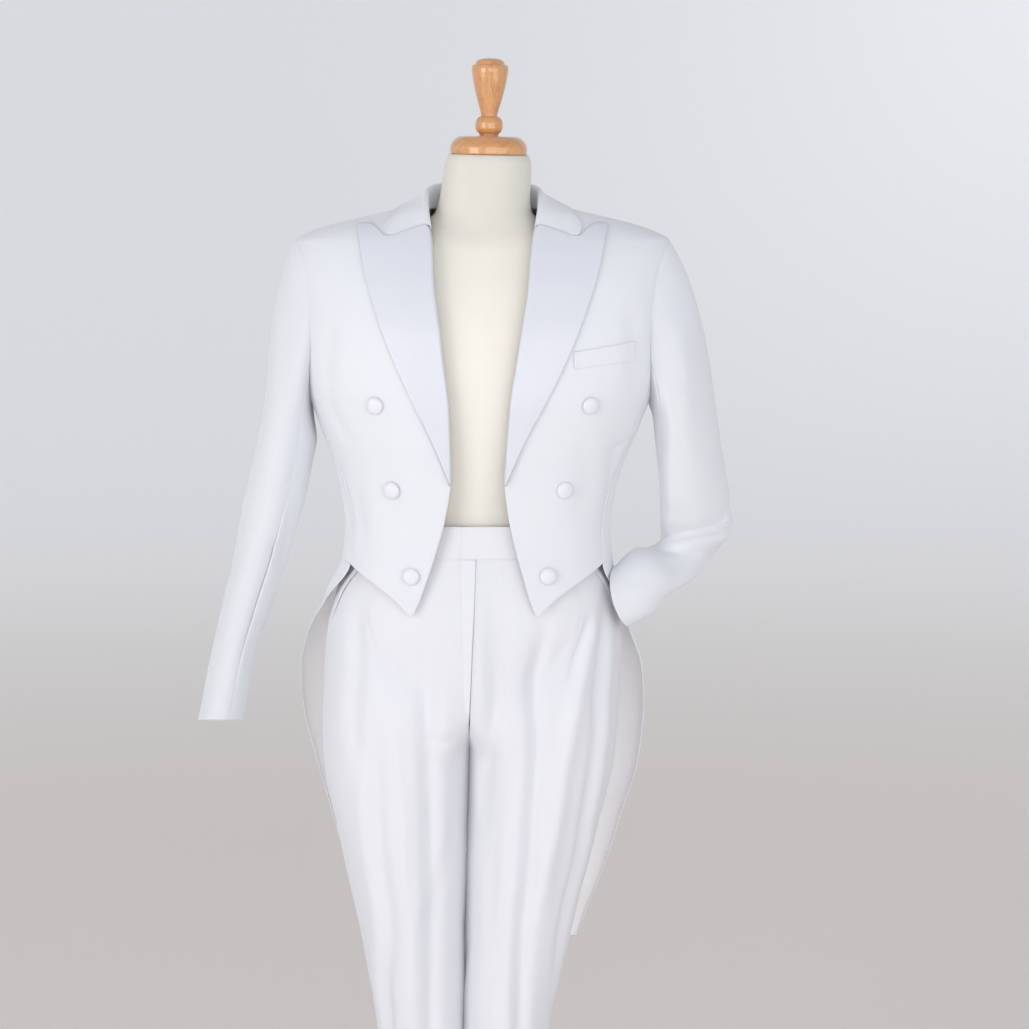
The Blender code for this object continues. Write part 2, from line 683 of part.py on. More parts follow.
def sleeve_grid(sleeve, side, head):
    """Rows of points round a sleeve, from the armhole to the cuff."""
    steps = ARMHOLE_STEPS
    turns = [2 * math.pi * j / steps for j in range(steps)]
    rings = []
    for i in range(len(sleeve["x"])):
        centre, out, fore = station_frame(sleeve, i, side)
        rings.append(np.array([centre + out * math.cos(t) + fore * math.sin(t) for t in turns]))
    loop = np.array([armhole(side, j)[2] for j in range(steps)])
    middle = loop.mean(axis=0)
    leave = []
    for point, t in zip(loop, turns):
        flare = unit((point - middle) * np.array([0.0, 1.0, 1.0]))
        top = (1 + math.cos(t)) / 2
        way = np.array([side * (head[0] + (head[1] - head[0]) * top), 0.0, -HEAD_FALL])
        leave.append(unit(way + flare * HEAD_FLARE * (1 + top)))
    leave = np.array(leave)
    first = rings[0]
    arrive = np.array([unit(p) for p in rings[1] - rings[0]])
    span = np.linalg.norm(first - loop, axis=1, keepdims=True)
    rows = [loop + leave * SEAM]
    for k in range(1, CAP_ROWS + 1):
        t = k / (CAP_ROWS + 1)
        h00, h10 = (1 + 2 * t) * (1 - t) ** 2, t * (1 - t) ** 2
        h01, h11 = t * t * (3 - 2 * t), t * t * (t - 1)
        rows.append(loop * h00 + leave * span * h10 + first * h01 + arrive * span * h11)
    return np.array(rows + rings)


def grid_normals(grid, closed, centre_line):
    """Normals of a grid of rows, which point away from the row centres."""
    rows, columns = grid.shape[:2]
    normals = np.zeros_like(grid)
    for r in range(rows):
        low, high = max(r - 1, 0), min(r + 1, rows - 1)
        for c in range(columns):
            if closed:
                before, after = (c - 1) % columns, (c + 1) % columns
            else:
                before, after = max(c - 1, 0), min(c + 1, columns - 1)
            across = grid[r, after] - grid[r, before]
            along = grid[high, c] - grid[low, c]
            normal = unit(np.cross(across, along))
            if normal @ (grid[r, c] - centre_line[r]) < 0:
                normal = -normal
            normals[r, c] = normal
    return normals


def build_sleeve(side_name, side, sleeve, head):
    """A top sleeve and an under sleeve, which meet along the front and the hind seams."""
    grid = sleeve_grid(sleeve, side, head)
    normals = grid_normals(grid, True, grid.mean(axis=1))
    top = [c % ARMHOLE_STEPS for c in range(HIND_COLUMN, FRONT_COLUMN + ARMHOLE_STEPS + 1)]
    under = list(range(FRONT_COLUMN, HIND_COLUMN + 1))
    for piece, columns in (("top", top), ("under", under)):
        wall(f"sleeve_{piece}_{side_name}", grid[:, columns], normals[:, columns], COAT_WHITE,
             seams=("first", "last"), gap=SLEEVE_SEAM)


def surface_place(x, height):
    """Where the coat's front is at a height, x off the centre, as seen from above."""
    return front_point(1.0, x, height, 0.0)[:2] - np.array([centre_x(height), 0.0])


def shoulder_surface(x, y):
    """Height of the coat's upper surface over a point seen from above, x off the centre."""
    low, high = 1.25, COAT["height"][-1]
    for _ in range(BISECTIONS):
        height = (low + high) / 2
        power = at(COAT, "power", height)
        side_y = at(COAT, "side_y", height)
        if y < side_y:
            depth = at(COAT, "front", height) + side_y
        else:
            depth = at(COAT, "back", height) - side_y
        reach = abs(x / at(COAT, "half_width", height)) ** power + abs((y - side_y) / depth) ** power
        if reach > 1:
            high = height
        else:
            low = height
    return low if low < COAT["height"][-1] - 0.0002 else 0.0


def collar_row(index, side):
    """One cut across the collar: up the stand, over the fold and down the leaf."""
    fold = np.array([COLLAR["fold_x"][index], COLLAR["fold_y"][index]])
    leaf = np.array([COLLAR["leaf_x"][index], COLLAR["leaf_y"][index]])
    top = COLLAR["fold_height"][index]
    away = unit(leaf - fold)
    stand = STAND_ENDS + (STAND_BACK - STAND_ENDS) * min(index / 4, 1.0)
    places = [(fold + away * out, top - stand * share - drop)
              for out, share, drop in zip(*COLLAR_FOLD.values())]
    edge = shoulder_surface(*leaf) + COLLAR_REST
    for share in LEAF_SHARES:
        place = fold + (leaf - fold) * share
        fall = (share - LEAF_START) / (1 - LEAF_START)
        hang = top - LEAF_DROP + (edge - top + LEAF_DROP) * fall
        places.append((place, max(hang, shoulder_surface(*place) + COLLAR_REST)))
    if index == 0:
        gorge = [(x, h + GORGE) for x, h in zip(LAPEL_TOP["x"][1:6], LAPEL_TOP["height"][1:6])]
        gorge.append((leaf[0], edge))
        places[4:] = [(surface_place(x, h), h + COLLAR_REST) for x, h in gorge]
    return [np.array([centre_x(1.45) + side * p[0], p[1], h]) for p, h in places]


def build_collar():
    halves = len(COLLAR["fold_x"])
    rows = [collar_row(i, -1.0) for i in range(halves)]
    rows += [collar_row(i, 1.0) for i in range(halves - 2, -1, -1)]
    grid = np.array(rows)
    normals = np.zeros_like(grid)
    for r in range(len(grid)):
        low, high = max(r - 1, 0), min(r + 1, len(grid) - 1)
        for c in range(grid.shape[1]):
            before, after = max(c - 1, 0), min(c + 1, grid.shape[1] - 1)
            normals[r, c] = unit(np.cross(grid[high, c] - grid[low, c],
                                          grid[r, after] - grid[r, before]))
    if normals[len(grid) // 2, -1][2] < 0:
        normals = -normals
    wall("collar", grid + normals * SATIN / 2, normals, COAT_WHITE, thickness=SATIN)


def lapel_outline(share, across):
    """Place on a lapel: share runs up it, across runs from the roll line to the edge."""
    top_inner = np.array([LAPEL_TOP["x"][0], LAPEL_TOP["height"][0]])
    top_outer = np.array([LAPEL_TOP["x"][-1], LAPEL_TOP["height"][-1]])
    inner_height = ROLL_END + (top_inner[1] - ROLL_END) * share
    outer_height = ROLL_END + (top_outer[1] - ROLL_END) * share
    inner = np.array([at(FRONT_EDGE, "x", inner_height) + ROLL_INSET, inner_height])
    outer = np.array([at(LAPEL_EDGE, "x", outer_height), outer_height])
    place = inner + (outer - inner) * across
    x = top_inner[0] + (top_outer[0] - top_inner[0]) * across
    bend = at(LAPEL_TOP, "height", x, "x")
    bend -= top_inner[1] + (top_outer[1] - top_inner[1]) * across
    return place + np.array([0.0, bend * share ** GORGE_POWER])


def build_lapel(name, side):
    columns = (LAPEL_TOP["x"] - LAPEL_TOP["x"][0]) / (LAPEL_TOP["x"][-1] - LAPEL_TOP["x"][0])
    outline = [[lapel_outline(s, c) for c in columns] for s in LAPEL_ROWS]
    lift = LIFT + SATIN
    points = [[front_point(side, x, h, lift) for x, h in row] for row in outline]
    normals = [[coat_normal(side, ring_angle(COAT, x, h), h) for x, h in row] for row in outline]
    wall(name, points, normals, SATIN_WHITE, thickness=SATIN, roughness=0.35)


def build_welt():
    corners = np.array([[WELT["x"][i], WELT["height"][i]] for i in range(4)])
    outline = []
    for v in (0.0, 1.0):
        low = corners[0] + (corners[3] - corners[0]) * v
        high = corners[1] + (corners[2] - corners[1]) * v
        outline.append([low + (high - low) * u / 5 for u in range(6)])
    points = [[front_point(1, x, h, LIFT + WALL) for x, h in row] for row in outline]
    normals = [[coat_normal(1, ring_angle(COAT, x, h), h) for x, h in row] for row in outline]
    wall("breast_welt", points, normals, COAT_WHITE)


def turned(name, profile, axis, foot, colour, roughness, sides=TURNED_SIDES, metallic=0.0):
    """A solid turned about an axis that starts at foot."""
    axis = unit(np.array(axis, float))
    level = np.array([0.0, 1.0, 0.0]) if abs(axis[1]) < 0.9 else np.array([1.0, 0.0, 0.0])
    side = unit(np.cross(axis, level))
    other = np.cross(axis, side)
    vertices, rings, faces = [], [], []
    for radius, rise in zip(profile["radius"], profile["rise"]):
        middle = np.array(foot) + axis * rise
        if radius == 0:
            rings.append([len(vertices)])
            vertices.append(middle)
            continue
        ring = []
        for i in range(sides):
            turn = 2 * math.pi * i / sides
            ring.append(len(vertices))
            vertices.append(middle + radius * (side * math.cos(turn) + other * math.sin(turn)))
        rings.append(ring)
    for low, high in zip(rings, rings[1:]):
        for i in range(sides):
            j = (i + 1) % sides
            if len(low) == 1:
                faces.append((low[0], high[j], high[i]))
            elif len(high) == 1:
                faces.append((low[i], low[j], high[0]))
            else:
                faces.append((low[i], low[j], high[j], high[i]))
    return make_object(name, vertices, faces, colour, roughness, metallic)


def build_button(name, side, x, height):
    normal = coat_normal(side, ring_angle(COAT, x, height), height)
    foot = front_point(side, x, height, LIFT)
    rise = BUTTON_PROFILE["rim"] * BUTTON_RIM + BUTTON_PROFILE["dome"] * BUTTON_DOME
    profile = {"radius": BUTTON_PROFILE["radius"] * BUTTON_RADIUS, "rise": rise}
    turned(name, profile, normal, foot, SATIN_WHITE, 0.35, sides=16)


def trouser_point(side, face, share, height):
    """Outside of a trouser panel: share runs from the side seam to the centre or the inseam."""
    half = at(TROUSERS, "half_width", height)
    inner = at(TROUSERS, "inner", height)
    power = at(TROUSERS, "power", height)
    side_y = at(TROUSERS, "side_y", height)
    reach = at(TROUSERS, "front" if face < 0 else "back", height) + face * -side_y
    turn = math.pi / 2 * (1 - share)
    body = np.array([max(half * math.sin(turn) ** (2 / power), inner),
                     side_y + face * reach * math.cos(turn) ** (2 / power)])
    middle = (half + inner) / 2
    if share <= 0.5:
        turn = math.pi * share
        leg = np.array([middle + (half - middle) * math.cos(turn) ** (2 / power),
                        side_y + face * reach * math.sin(turn) ** (2 / power)])
    else:
        square = at(TROUSERS, "inner_power", height)
        name = "front_turn" if face < 0 else "back_turn"
        last = math.radians(at(CROTCH_SEAM, name, height)) if height > CROTCH else math.pi / 2
        turn = last * (share - 0.5) * 2
        across = (math.sin(turn) / math.sin(last)) ** (2 / square)
        leg = np.array([middle - (middle - inner) * across,
                        side_y + face * reach * math.cos(turn) ** (2 / square)])
    blend = smooth_step((LEG_BLEND_TOP - height) / (LEG_BLEND_TOP - LEG_BLEND_END))
    place = body + (leg - body) * blend
    if face < 0:
        fade = np.clip((height - PLEAT_END) / (WAISTBAND_SEAM - PLEAT_END), 0, 1)
        step = np.clip(1 - abs(share - PLEAT_ANGLE) / PLEAT_WIDTH, 0, 1)
        place[1] -= PLEAT_DEPTH * fade * step
    return np.array([centre_x(height) + side * place[0], place[1], height])


def trouser_columns(face):
    if face > 0:
        return [i / 8 for i in range(9)]
    pleat = [PLEAT_ANGLE - PLEAT_WIDTH, PLEAT_ANGLE, PLEAT_ANGLE + PLEAT_WIDTH]
    return [0, 0.13, 0.26, 0.40] + pleat + [0.80, 0.90, 1.0]


def leg_grid(side):
    """Both panels of a leg as one set of rows, and the column where the inseam is."""
    front = trouser_columns(-1)
    back = trouser_columns(1)[::-1]
    columns = [(-1, s) for s in front] + [(1, s) for s in back]
    grid = np.array([[trouser_point(side, f, s, h) for f, s in columns] for h in TROUSER_ROWS])
    return grid, len(front)


def leg_normals(grid, split):
    """Normals that the two panels share at the side seam and the inseam."""
    rows, columns = grid.shape[:2]
    normals = np.zeros_like(grid)
    for r in range(rows):
        height = TROUSER_ROWS[r]
        low, high = max(r - 1, 0), min(r + 1, rows - 1)
        for c in range(columns):
            before = columns - 2 if c == 0 else c - 1
            after = 1 if c == columns - 1 else c + 1
            if c == split - 1:
                after = split + 1 if height <= CROTCH + 1e-6 else c
            if c == split:
                before = split - 2 if height <= CROTCH + 1e-6 else c
            across = grid[r, after] - grid[r, before]
            normals[r, c] = unit(np.cross(across, grid[high, c] - grid[low, c]))
        middle = np.array([grid[r, :, 0].mean(), grid[r, :, 1].mean(), height])
        if normals[r, 2] @ (grid[r, 2] - middle) < 0:
            normals[r] = -normals[r]
        if height > LEVEL_FRONT:
            for c in (split - 1, split):
                normals[r, c] = unit(normals[r, c] * np.array([0.0, 1.0, 1.0]))
    return normals


def build_leg(side_name, side):
    grid, split = leg_grid(side)
    normals = leg_normals(grid, split)
    wall(f"trouser_front_{side_name}", grid[:, :split], normals[:, :split], TROUSER_WHITE,
         seams=("first", "last", "top"))
    wall(f"trouser_back_{side_name}", grid[:, split:], normals[:, split:], TROUSER_WHITE,
         seams=("first", "last", "top"))


def band_point(side, angle, height):
    return ring_point(TROUSERS, angle, height, side)


def build_waistband(name, side, first, last):
    """Half of the waistband, from the front closing to the centre back."""
    heights = (WAISTBAND_SEAM, WAISTBAND_TOP)
    angles = [first + (last - first) * i / 11 for i in range(12)]
    points = [[band_point(side, a, h) for a in angles] for h in heights]
    normals = []
    for height in heights:
        row = []
        for a in angles:
            here = band_point(side, a, height)
            before, after = band_point(side, a - 1, height), band_point(side, a + 1, height)
            normal = unit(np.cross(after - before, np.array([0.0, 0.0, 1.0])))
            away = here - np.array([centre_x(height), 0.0, height])
            row.append(normal if normal @ away > 0 else -normal)
        normals.append(row)
    wall(name, points, normals, TROUSER_WHITE, seams=("first", "last", "bottom"))


def panel_normal(side, face, share, height):
    share = min(max(share, 0.01), 0.99)
    here = trouser_point(side, face, share, height)
    outward = here - np.array([centre_x(height) + side * 0.05, 0.0, height])
    return surface_normal(lambda s, h: trouser_point(side, face, s, h),
                          share, height, 0.006, 0.004, outward)


def build_fly():
    """The closing edge of the fly, which laps over the right front."""
    top = WAISTBAND_SEAM - SEAM - LIFT / 2
    points, normals = [], []
    for i in range(FLY_ROWS + 1):
        height = FLY_END + (top - FLY_END) * i / FLY_ROWS
        share = (height - FLY_END) / (WAISTBAND_SEAM - FLY_END)
        lap = FLY_POINT + (FLY_LAP - FLY_POINT) * share ** FLY_CURVE
        row, facing = [], []
        for j in range(4):
            x = FLY_INSET + lap * j / 3
            first, last = 0.5, 1.0
            for _ in range(BISECTIONS):
                middle = (first + last) / 2
                here = abs(trouser_point(-1, -1, middle, height)[0] - centre_x(height))
                if here > x:
                    first = middle
                else:
                    last = middle
            normal = panel_normal(-1, -1, min(first, 0.97), height)
            row.append(trouser_point(-1, -1, first, height) + normal * (LIFT + WALL))
            facing.append(normal)
        points.append(row)
        normals.append(facing)
    wall("trouser_fly", points, normals, TROUSER_WHITE)


def build_pocket(name, side):
    """The facing along a slanted front pocket."""
    points, normals = [], []
    for i in range(POCKET_ROWS + 1):
        share = i / POCKET_ROWS
        across = POCKET["across"][1] + (POCKET["across"][0] - POCKET["across"][1]) * share
        height = POCKET["height"][1] + (POCKET["height"][0] - POCKET["height"][1]) * share
        row, facing = [], []
        for j in range(3):
            place = across + j * POCKET_WIDTH / 2
            normal = panel_normal(side, -1, place, height)
            row.append(trouser_point(side, -1, place, height) + normal * (LIFT + WALL))
            facing.append(normal)
        points.append(row)
        normals.append(facing)
    wall(name, points, normals, TROUSER_WHITE)


def build_torso():
    """The smooth padded body of the dress form, closed at the hips and at the neck."""
    heights = TORSO["height"]
    vertices, faces = [], []
    for height in heights:
        for i in range(TORSO_COLUMNS):
            turn = 360.0 * i / TORSO_COLUMNS
            side = 1 if turn <= 180 else -1
            angle = turn if turn <= 180 else 360 - turn
            point = ring_point(TORSO, angle, height, side)
            neck = min(max((height - NECK_FOOT) / (CAP_BOTTOM - NECK_FOOT), 0.0), 1.0)
            point[2] -= (point[0] - centre_x(height)) * math.tan(FORM_TILT) * neck
            vertices.append(point)
    for r in range(len(heights) - 1):
        for c in range(TORSO_COLUMNS):
            d = (c + 1) % TORSO_COLUMNS
            low, high = r * TORSO_COLUMNS, (r + 1) * TORSO_COLUMNS
            faces.append((low + c, low + d, high + d, high + c))
    faces.append(tuple(range(TORSO_COLUMNS - 1, -1, -1)))
    last = (len(heights) - 1) * TORSO_COLUMNS
    faces.append(tuple(range(last, last + TORSO_COLUMNS)))
    make_object("form_torso", vertices, faces, FORM_CREAM, 0.9)


def build_form():
    build_torso()
    foot = (centre_x(CAP_BOTTOM), TORSO["side_y"][-1], CAP_BOTTOM)
    lean = (math.sin(FORM_TILT), 0.0, math.cos(FORM_TILT))
    turned("form_neck_cap", CAP_PROFILE, lean, foot, WOOD, 0.3)
    turned("form_finial", FINIAL_PROFILE, lean, foot, WOOD, 0.3)
    top = TORSO["height"][0] - SEAM
    pole = table("radius rise", [(0.0, 0.0), (POLE_RADIUS, 0.0),
                                 (POLE_RADIUS, top - SOCKET_HEIGHT - SEAM),
                                 (0.0, top - SOCKET_HEIGHT - SEAM)])
    turned("stand_pole", pole, (0, 0, 1), (POLE_X, POLE_Y, SOCKET_HEIGHT + SEAM), STEEL, 0.25,
           sides=20, metallic=1.0)
    socket = table("radius rise", [(0.0, 0.0), (SOCKET_FLANGE, 0.0),
                                   (SOCKET_FLANGE, FLANGE_HEIGHT),
                                   (SOCKET_RADIUS, FLANGE_HEIGHT * 1.5),
                                   (SOCKET_RADIUS, SOCKET_HEIGHT - BASE_HEIGHT - SEAM),
                                   (0.0, SOCKET_HEIGHT - BASE_HEIGHT - SEAM)])
    turned("stand_socket", socket, (0, 0, 1), (POLE_X, POLE_Y, BASE_HEIGHT + SEAM), STEEL, 0.3,
           sides=20, metallic=1.0)
    base = table("radius rise", [(0.0, 0.0), (BASE_RADIUS - BASE_BEVEL / 3, 0.0),
                                 (BASE_RADIUS, BASE_BEVEL / 3),
                                 (BASE_RADIUS, BASE_HEIGHT - BASE_BEVEL),
                                 (BASE_RADIUS - BASE_BEVEL, BASE_HEIGHT), (0.0, BASE_HEIGHT)])
    turned("stand_base", base, (0, 0, 1), (0, 0, 0), STEEL, 0.35, sides=48, metallic=1.0)


for old in list(bpy.data.objects):
    bpy.data.objects.remove(old, do_unlink=True)

for wearer_side, sign in (("right", -1.0), ("left", 1.0)):
    build_forepart(f"forepart_{wearer_side}", sign)
    build_side_body(f"side_body_{wearer_side}", sign)
    build_back(f"back_{wearer_side}", sign)
    build_skirt(f"skirt_{wearer_side}", sign)
    build_lapel(f"lapel_{wearer_side}", sign)
    build_leg(wearer_side, sign)
    build_pocket(f"pocket_{wearer_side}", sign)
    for row, button_height in enumerate(BUTTONS["height"]):
        button_x = BUTTONS[f"{wearer_side}_x"][row]
        build_button(f"button_{wearer_side}_{row + 1}", sign, button_x, button_height)
build_sleeve("right", -1.0, RIGHT_SLEEVE, RIGHT_HEAD)
build_sleeve("left", 1.0, LEFT_SLEEVE, LEFT_HEAD)
build_collar()
build_welt()
fly_angle = ring_angle(TROUSERS, FLY_LAP, WAISTBAND_TOP)
build_waistband("waistband_right", -1.0, fly_angle, 180.0)
build_waistband("waistband_left", 1.0, -fly_angle, 180.0)
build_fly()
build_form()
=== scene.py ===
"""A white tailcoat tuxedo on a limbless dress form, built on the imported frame."""
import math
from functools import partial

import bpy
import numpy as np
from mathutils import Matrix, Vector


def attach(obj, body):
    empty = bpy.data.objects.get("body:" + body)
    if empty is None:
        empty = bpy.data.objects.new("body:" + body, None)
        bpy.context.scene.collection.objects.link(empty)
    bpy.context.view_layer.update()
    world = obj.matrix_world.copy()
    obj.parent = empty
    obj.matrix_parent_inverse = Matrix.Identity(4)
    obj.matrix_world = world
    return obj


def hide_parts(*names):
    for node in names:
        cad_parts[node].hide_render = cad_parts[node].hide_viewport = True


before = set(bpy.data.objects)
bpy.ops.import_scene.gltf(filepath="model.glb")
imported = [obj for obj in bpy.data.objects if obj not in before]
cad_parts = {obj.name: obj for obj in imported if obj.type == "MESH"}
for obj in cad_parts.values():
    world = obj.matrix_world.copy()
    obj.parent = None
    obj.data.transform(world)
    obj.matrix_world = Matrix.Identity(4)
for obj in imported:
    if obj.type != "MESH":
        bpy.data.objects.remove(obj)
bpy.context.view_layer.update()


# ---- Studio ---------------------------------------------------------------------------
# A pale seamless studio: a floor that turns up into a round wall. Broad soft lights stand
# at the wearer's right, in front and at the left, one grazes the wall, and one behind the
# coat lights only the coat and its stand.

scene = bpy.context.scene
CAMERA_PLACE = Vector((0.043, -4.0, 1.60))
CAMERA_TARGET = Vector((0.043, 0.0, 1.067))
CAMERA_VIEW = math.radians(18.68)

camera_data = bpy.data.cameras.new("camera")
camera_data.sensor_fit = "HORIZONTAL"
camera_data.angle = CAMERA_VIEW
camera = bpy.data.objects.new("camera", camera_data)
camera.location = CAMERA_PLACE
camera.rotation_euler = (CAMERA_TARGET - CAMERA_PLACE).to_track_quat("-Z", "Y").to_euler()
scene.collection.objects.link(camera)
scene.camera = camera
scene.view_settings.view_transform = "Standard"

STUDIO_RADIUS = 9.0
STUDIO_CORNER = 2.5
STUDIO_WALL = 7.0
STUDIO_NEAR = 2.5        # distances from the middle of the floor between which the
STUDIO_FAR = 8.6         # paint takes on the wall's tone and glow


def fill(tree, made, **values):
    """Sets a node's settings and inputs by name. A socket given for an input is linked to it."""
    for key, value in values.items():
        if hasattr(made, key):
            setattr(made, key, value)
        elif isinstance(value, bpy.types.NodeSocket):
            tree.links.new(value, made.inputs[key.replace("_", " ")])
        else:
            made.inputs[key.replace("_", " ")].default_value = value
    return made


def node(tree, kind, **values):
    """A new shader or geometry node, filled in by name."""
    return fill(tree, tree.nodes.new(kind), **values)


def linked(name, mesh):
    """A new object for a mesh, in the scene, at the origin."""
    obj = bpy.data.objects.new(name, mesh)
    scene.collection.objects.link(obj)
    return obj


def turned_mesh(name, profile, sides, foot=(0.0, 0.0, 0.0), axis=(0.0, 0.0, 1.0)):
    """A smooth mesh turned about an axis: profile is a list of (radius, rise), which may
    begin and end on the axis."""
    axis = Vector(axis).normalized()
    across = axis.cross(Vector((0.0, 1.0, 0.0))).normalized()
    other = axis.cross(across)
    foot = Vector(foot)
    points, rings, faces = [], [], []
    for radius, rise in profile:
        middle = foot + axis * float(rise)
        if radius < 1e-7:
            rings.append([len(points)])
            points.append(middle)
            continue
        rings.append(list(range(len(points), len(points) + sides)))
        for i in range(sides):
            turn = 2 * math.pi * i / sides
            way = math.cos(turn) * across + math.sin(turn) * other
            points.append(middle + way * float(radius))
    for low, high in zip(rings, rings[1:]):
        for i in range(sides):
            j = (i + 1) % sides
            if len(low) == 1:
                faces.append((low[0], high[j], high[i]))
            elif len(high) == 1:
                faces.append((low[i], low[j], high[0]))
            else:
                faces.append((low[i], low[j], high[j], high[i]))
    mesh = bpy.data.meshes.new(name)
    mesh.from_pydata([tuple(p) for p in points], [], faces)
    mesh.shade_smooth()
    return mesh


sweep = [(0.0, 0.0), (STUDIO_RADIUS - STUDIO_CORNER, 0.0)]
for step in range(1, 13):
    bend = math.pi / 2 * step / 12
    sweep.append((STUDIO_RADIUS - STUDIO_CORNER + STUDIO_CORNER * math.sin(bend),
                  STUDIO_CORNER * (1 - math.cos(bend))))
sweep.append((STUDIO_RADIUS, STUDIO_WALL))
studio_mesh = turned_mesh("studio_sweep", sweep, 96)
studio_mesh.flip_normals()
studio = linked("studio_sweep", studio_mesh)
paint = bpy.data.materials.new("studio_paint")
paint.use_nodes = True
paint_tree = paint.node_tree
paint_reach = node(paint_tree, "ShaderNodeVectorMath", operation="LENGTH",
                   Vector=node(paint_tree, "ShaderNodeTexCoord").outputs["Object"])
paint_range = node(paint_tree, "ShaderNodeMapRange", interpolation_type="SMOOTHSTEP",
                   From_Min=STUDIO_NEAR, From_Max=STUDIO_FAR, Value=paint_reach.outputs["Value"])
paint_shader = fill(paint_tree, paint_tree.nodes["Principled BSDF"], Roughness=0.9,
                    Emission_Strength=1.0)
# The paint glows, brighter up the wall than on the floor: painted light, which fills the scene
# softly from all round.
for socket, floor_tone, wall_tone in (
        ("Base Color", (0.53, 0.505, 0.485), (0.52, 0.52, 0.53)),
        ("Emission Color", (0.20, 0.187, 0.178), (0.335, 0.34, 0.348))):
    ramp = node(paint_tree, "ShaderNodeValToRGB", Fac=paint_range.outputs[0])
    ramp.color_ramp.elements[0].color = (*floor_tone, 1.0)
    ramp.color_ramp.elements[1].color = (*wall_tone, 1.0)
    paint_tree.links.new(ramp.outputs[0], paint_shader.inputs[socket])
studio.data.materials.append(paint)


def area_light(name, place, target, size, power, colour, spread_angle=180.0):
    data = bpy.data.lights.new(name, "AREA")
    data.spread = math.radians(spread_angle)
    data.shape = "SQUARE"
    data.size = size
    data.energy = power
    data.color = colour
    obj = bpy.data.objects.new(name, data)
    obj.location = place
    obj.rotation_euler = (Vector(target) - Vector(place)).to_track_quat("-Z", "Y").to_euler()
    obj.visible_glossy = place[1] < 0
    scene.collection.objects.link(obj)
    return obj


area_light("key_light", (-3.2, -3.4, 1.5), (0.0, 0.0, 1.0), 2.4, 60.0, (1.0, 0.99, 0.97))
area_light("front_light", (0.4, -5.2, 1.6), (0.0, 0.0, 1.2), 2.6, 44.0, (1.0, 1.0, 1.0))
area_light("fill_light", (2.8, -3.8, 1.0), (0.0, 0.0, 1.0), 3.0, 41.0, (0.97, 0.97, 1.0))
area_light("wall_light", (2.4, 6.0, 4.4), (2.2, 9.0, 1.8), 1.2, 6.0, (1.0, 0.99, 0.98), 70.0)
back_light = area_light("back_light", (-1.5, 4.2, 2.0), (0.0, 0.3, 0.8), 3.0, 78.0,
                        (1.0, 0.99, 0.98))
flagged = bpy.data.collections.new("kept from the back light")
flagged.objects.link(studio)
flagged.collection_objects[0].light_linking.link_state = "EXCLUDE"
back_light.light_linking.receiver_collection = flagged

world = bpy.data.worlds.new("studio_air")
world.use_nodes = True
fill(world.node_tree, world.node_tree.nodes["Background"], Color=(0.93, 0.95, 1.0, 1.0),
     Strength=0.57)
scene.world = world


# ---- Stand ----------------------------------------------------------------------------
# A heavy round foot of brushed steel, a socket screwed to it and a steel tube that goes up
# into the form inside the trousers. It is out of sight from the front and kept plain.

POLE_X = 0.043
POLE_Y = 0.012
POLE_RADIUS = 0.0127
BASE_RADIUS = 0.190
BASE_HEIGHT = 0.012
SOCKET_RADIUS = 0.0185
SOCKET_FLANGE = 0.0213
SOCKET_HEIGHT = 0.034
SEAM = 0.0003
TORSO_FOOT = 0.845
CORNER_STEPS = 5


def rounded(profile, radius):
    """A turned profile with its corners rounded off."""
    line = [Vector(p) for p in profile]
    out = [line[0]]
    for before, corner, after in zip(line, line[1:], line[2:]):
        reach = min(radius, (before - corner).length * 0.45, (after - corner).length * 0.45)
        start = corner + (before - corner).normalized() * reach
        end = corner + (after - corner).normalized() * reach
        for i in range(CORNER_STEPS + 1):
            t = i / CORNER_STEPS
            out.append(start * (1 - t) ** 2 + corner * 2 * t * (1 - t) + end * t * t)
    out.append(line[-1])
    return [(max(p.x, 0.0), p.y) for p in out]


def new_group(name, inputs, outputs, kind="ShaderNodeTree"):
    """An empty node group with named sockets: inputs and outputs give (name, type, value)."""
    group = bpy.data.node_groups.new(name, kind)
    for socket_name, socket_type, value in inputs:
        socket = group.interface.new_socket(socket_name, in_out="INPUT", socket_type=socket_type)
        if value is not None:
            socket.default_value = value
    for socket_name, socket_type in outputs:
        group.interface.new_socket(socket_name, in_out="OUTPUT", socket_type=socket_type)
    return group, group.nodes.new("NodeGroupInput"), group.nodes.new("NodeGroupOutput")


def arithmetic(tree, operation, a, b=None):
    """A Math node whose inputs are sockets or numbers."""
    made = tree.nodes.new("ShaderNodeMath")
    made.operation = operation
    for socket, value in zip(made.inputs, (a, b)):
        if value is None:
            continue
        if isinstance(value, (int, float)):
            socket.default_value = value
        else:
            tree.links.new(value, socket)
    return made.outputs[0]


# Tone: soft uneven shading over a surface, used by every finish so that none is flat.
tone, tone_in, tone_out = new_group(
    "soft tone",
    [("Vector", "NodeSocketVector", None), ("Scale", "NodeSocketFloat", 6.0),
     ("Amount", "NodeSocketFloat", 0.05), ("Colour", "NodeSocketColor", (0.8, 0.8, 0.8, 1.0)),
     ("Shade", "NodeSocketColor", (0.6, 0.6, 0.6, 1.0))],
    [("Colour", "NodeSocketColor")])
tone_noise = node(tone, "ShaderNodeTexNoise", Detail=4.0, Roughness=0.55,
                  Vector=tone_in.outputs["Vector"], Scale=tone_in.outputs["Scale"])
tone_mix = node(tone, "ShaderNodeMix", data_type="RGBA")
for tone_from, tone_to in (
        (arithmetic(tone, "MULTIPLY", tone_noise.outputs[0], tone_in.outputs["Amount"]), 0),
        (tone_in.outputs["Colour"], 6), (tone_in.outputs["Shade"], 7)):
    tone.links.new(tone_from, tone_mix.inputs[tone_to])
fill(tone, tone_out, Colour=tone_mix.outputs[2])


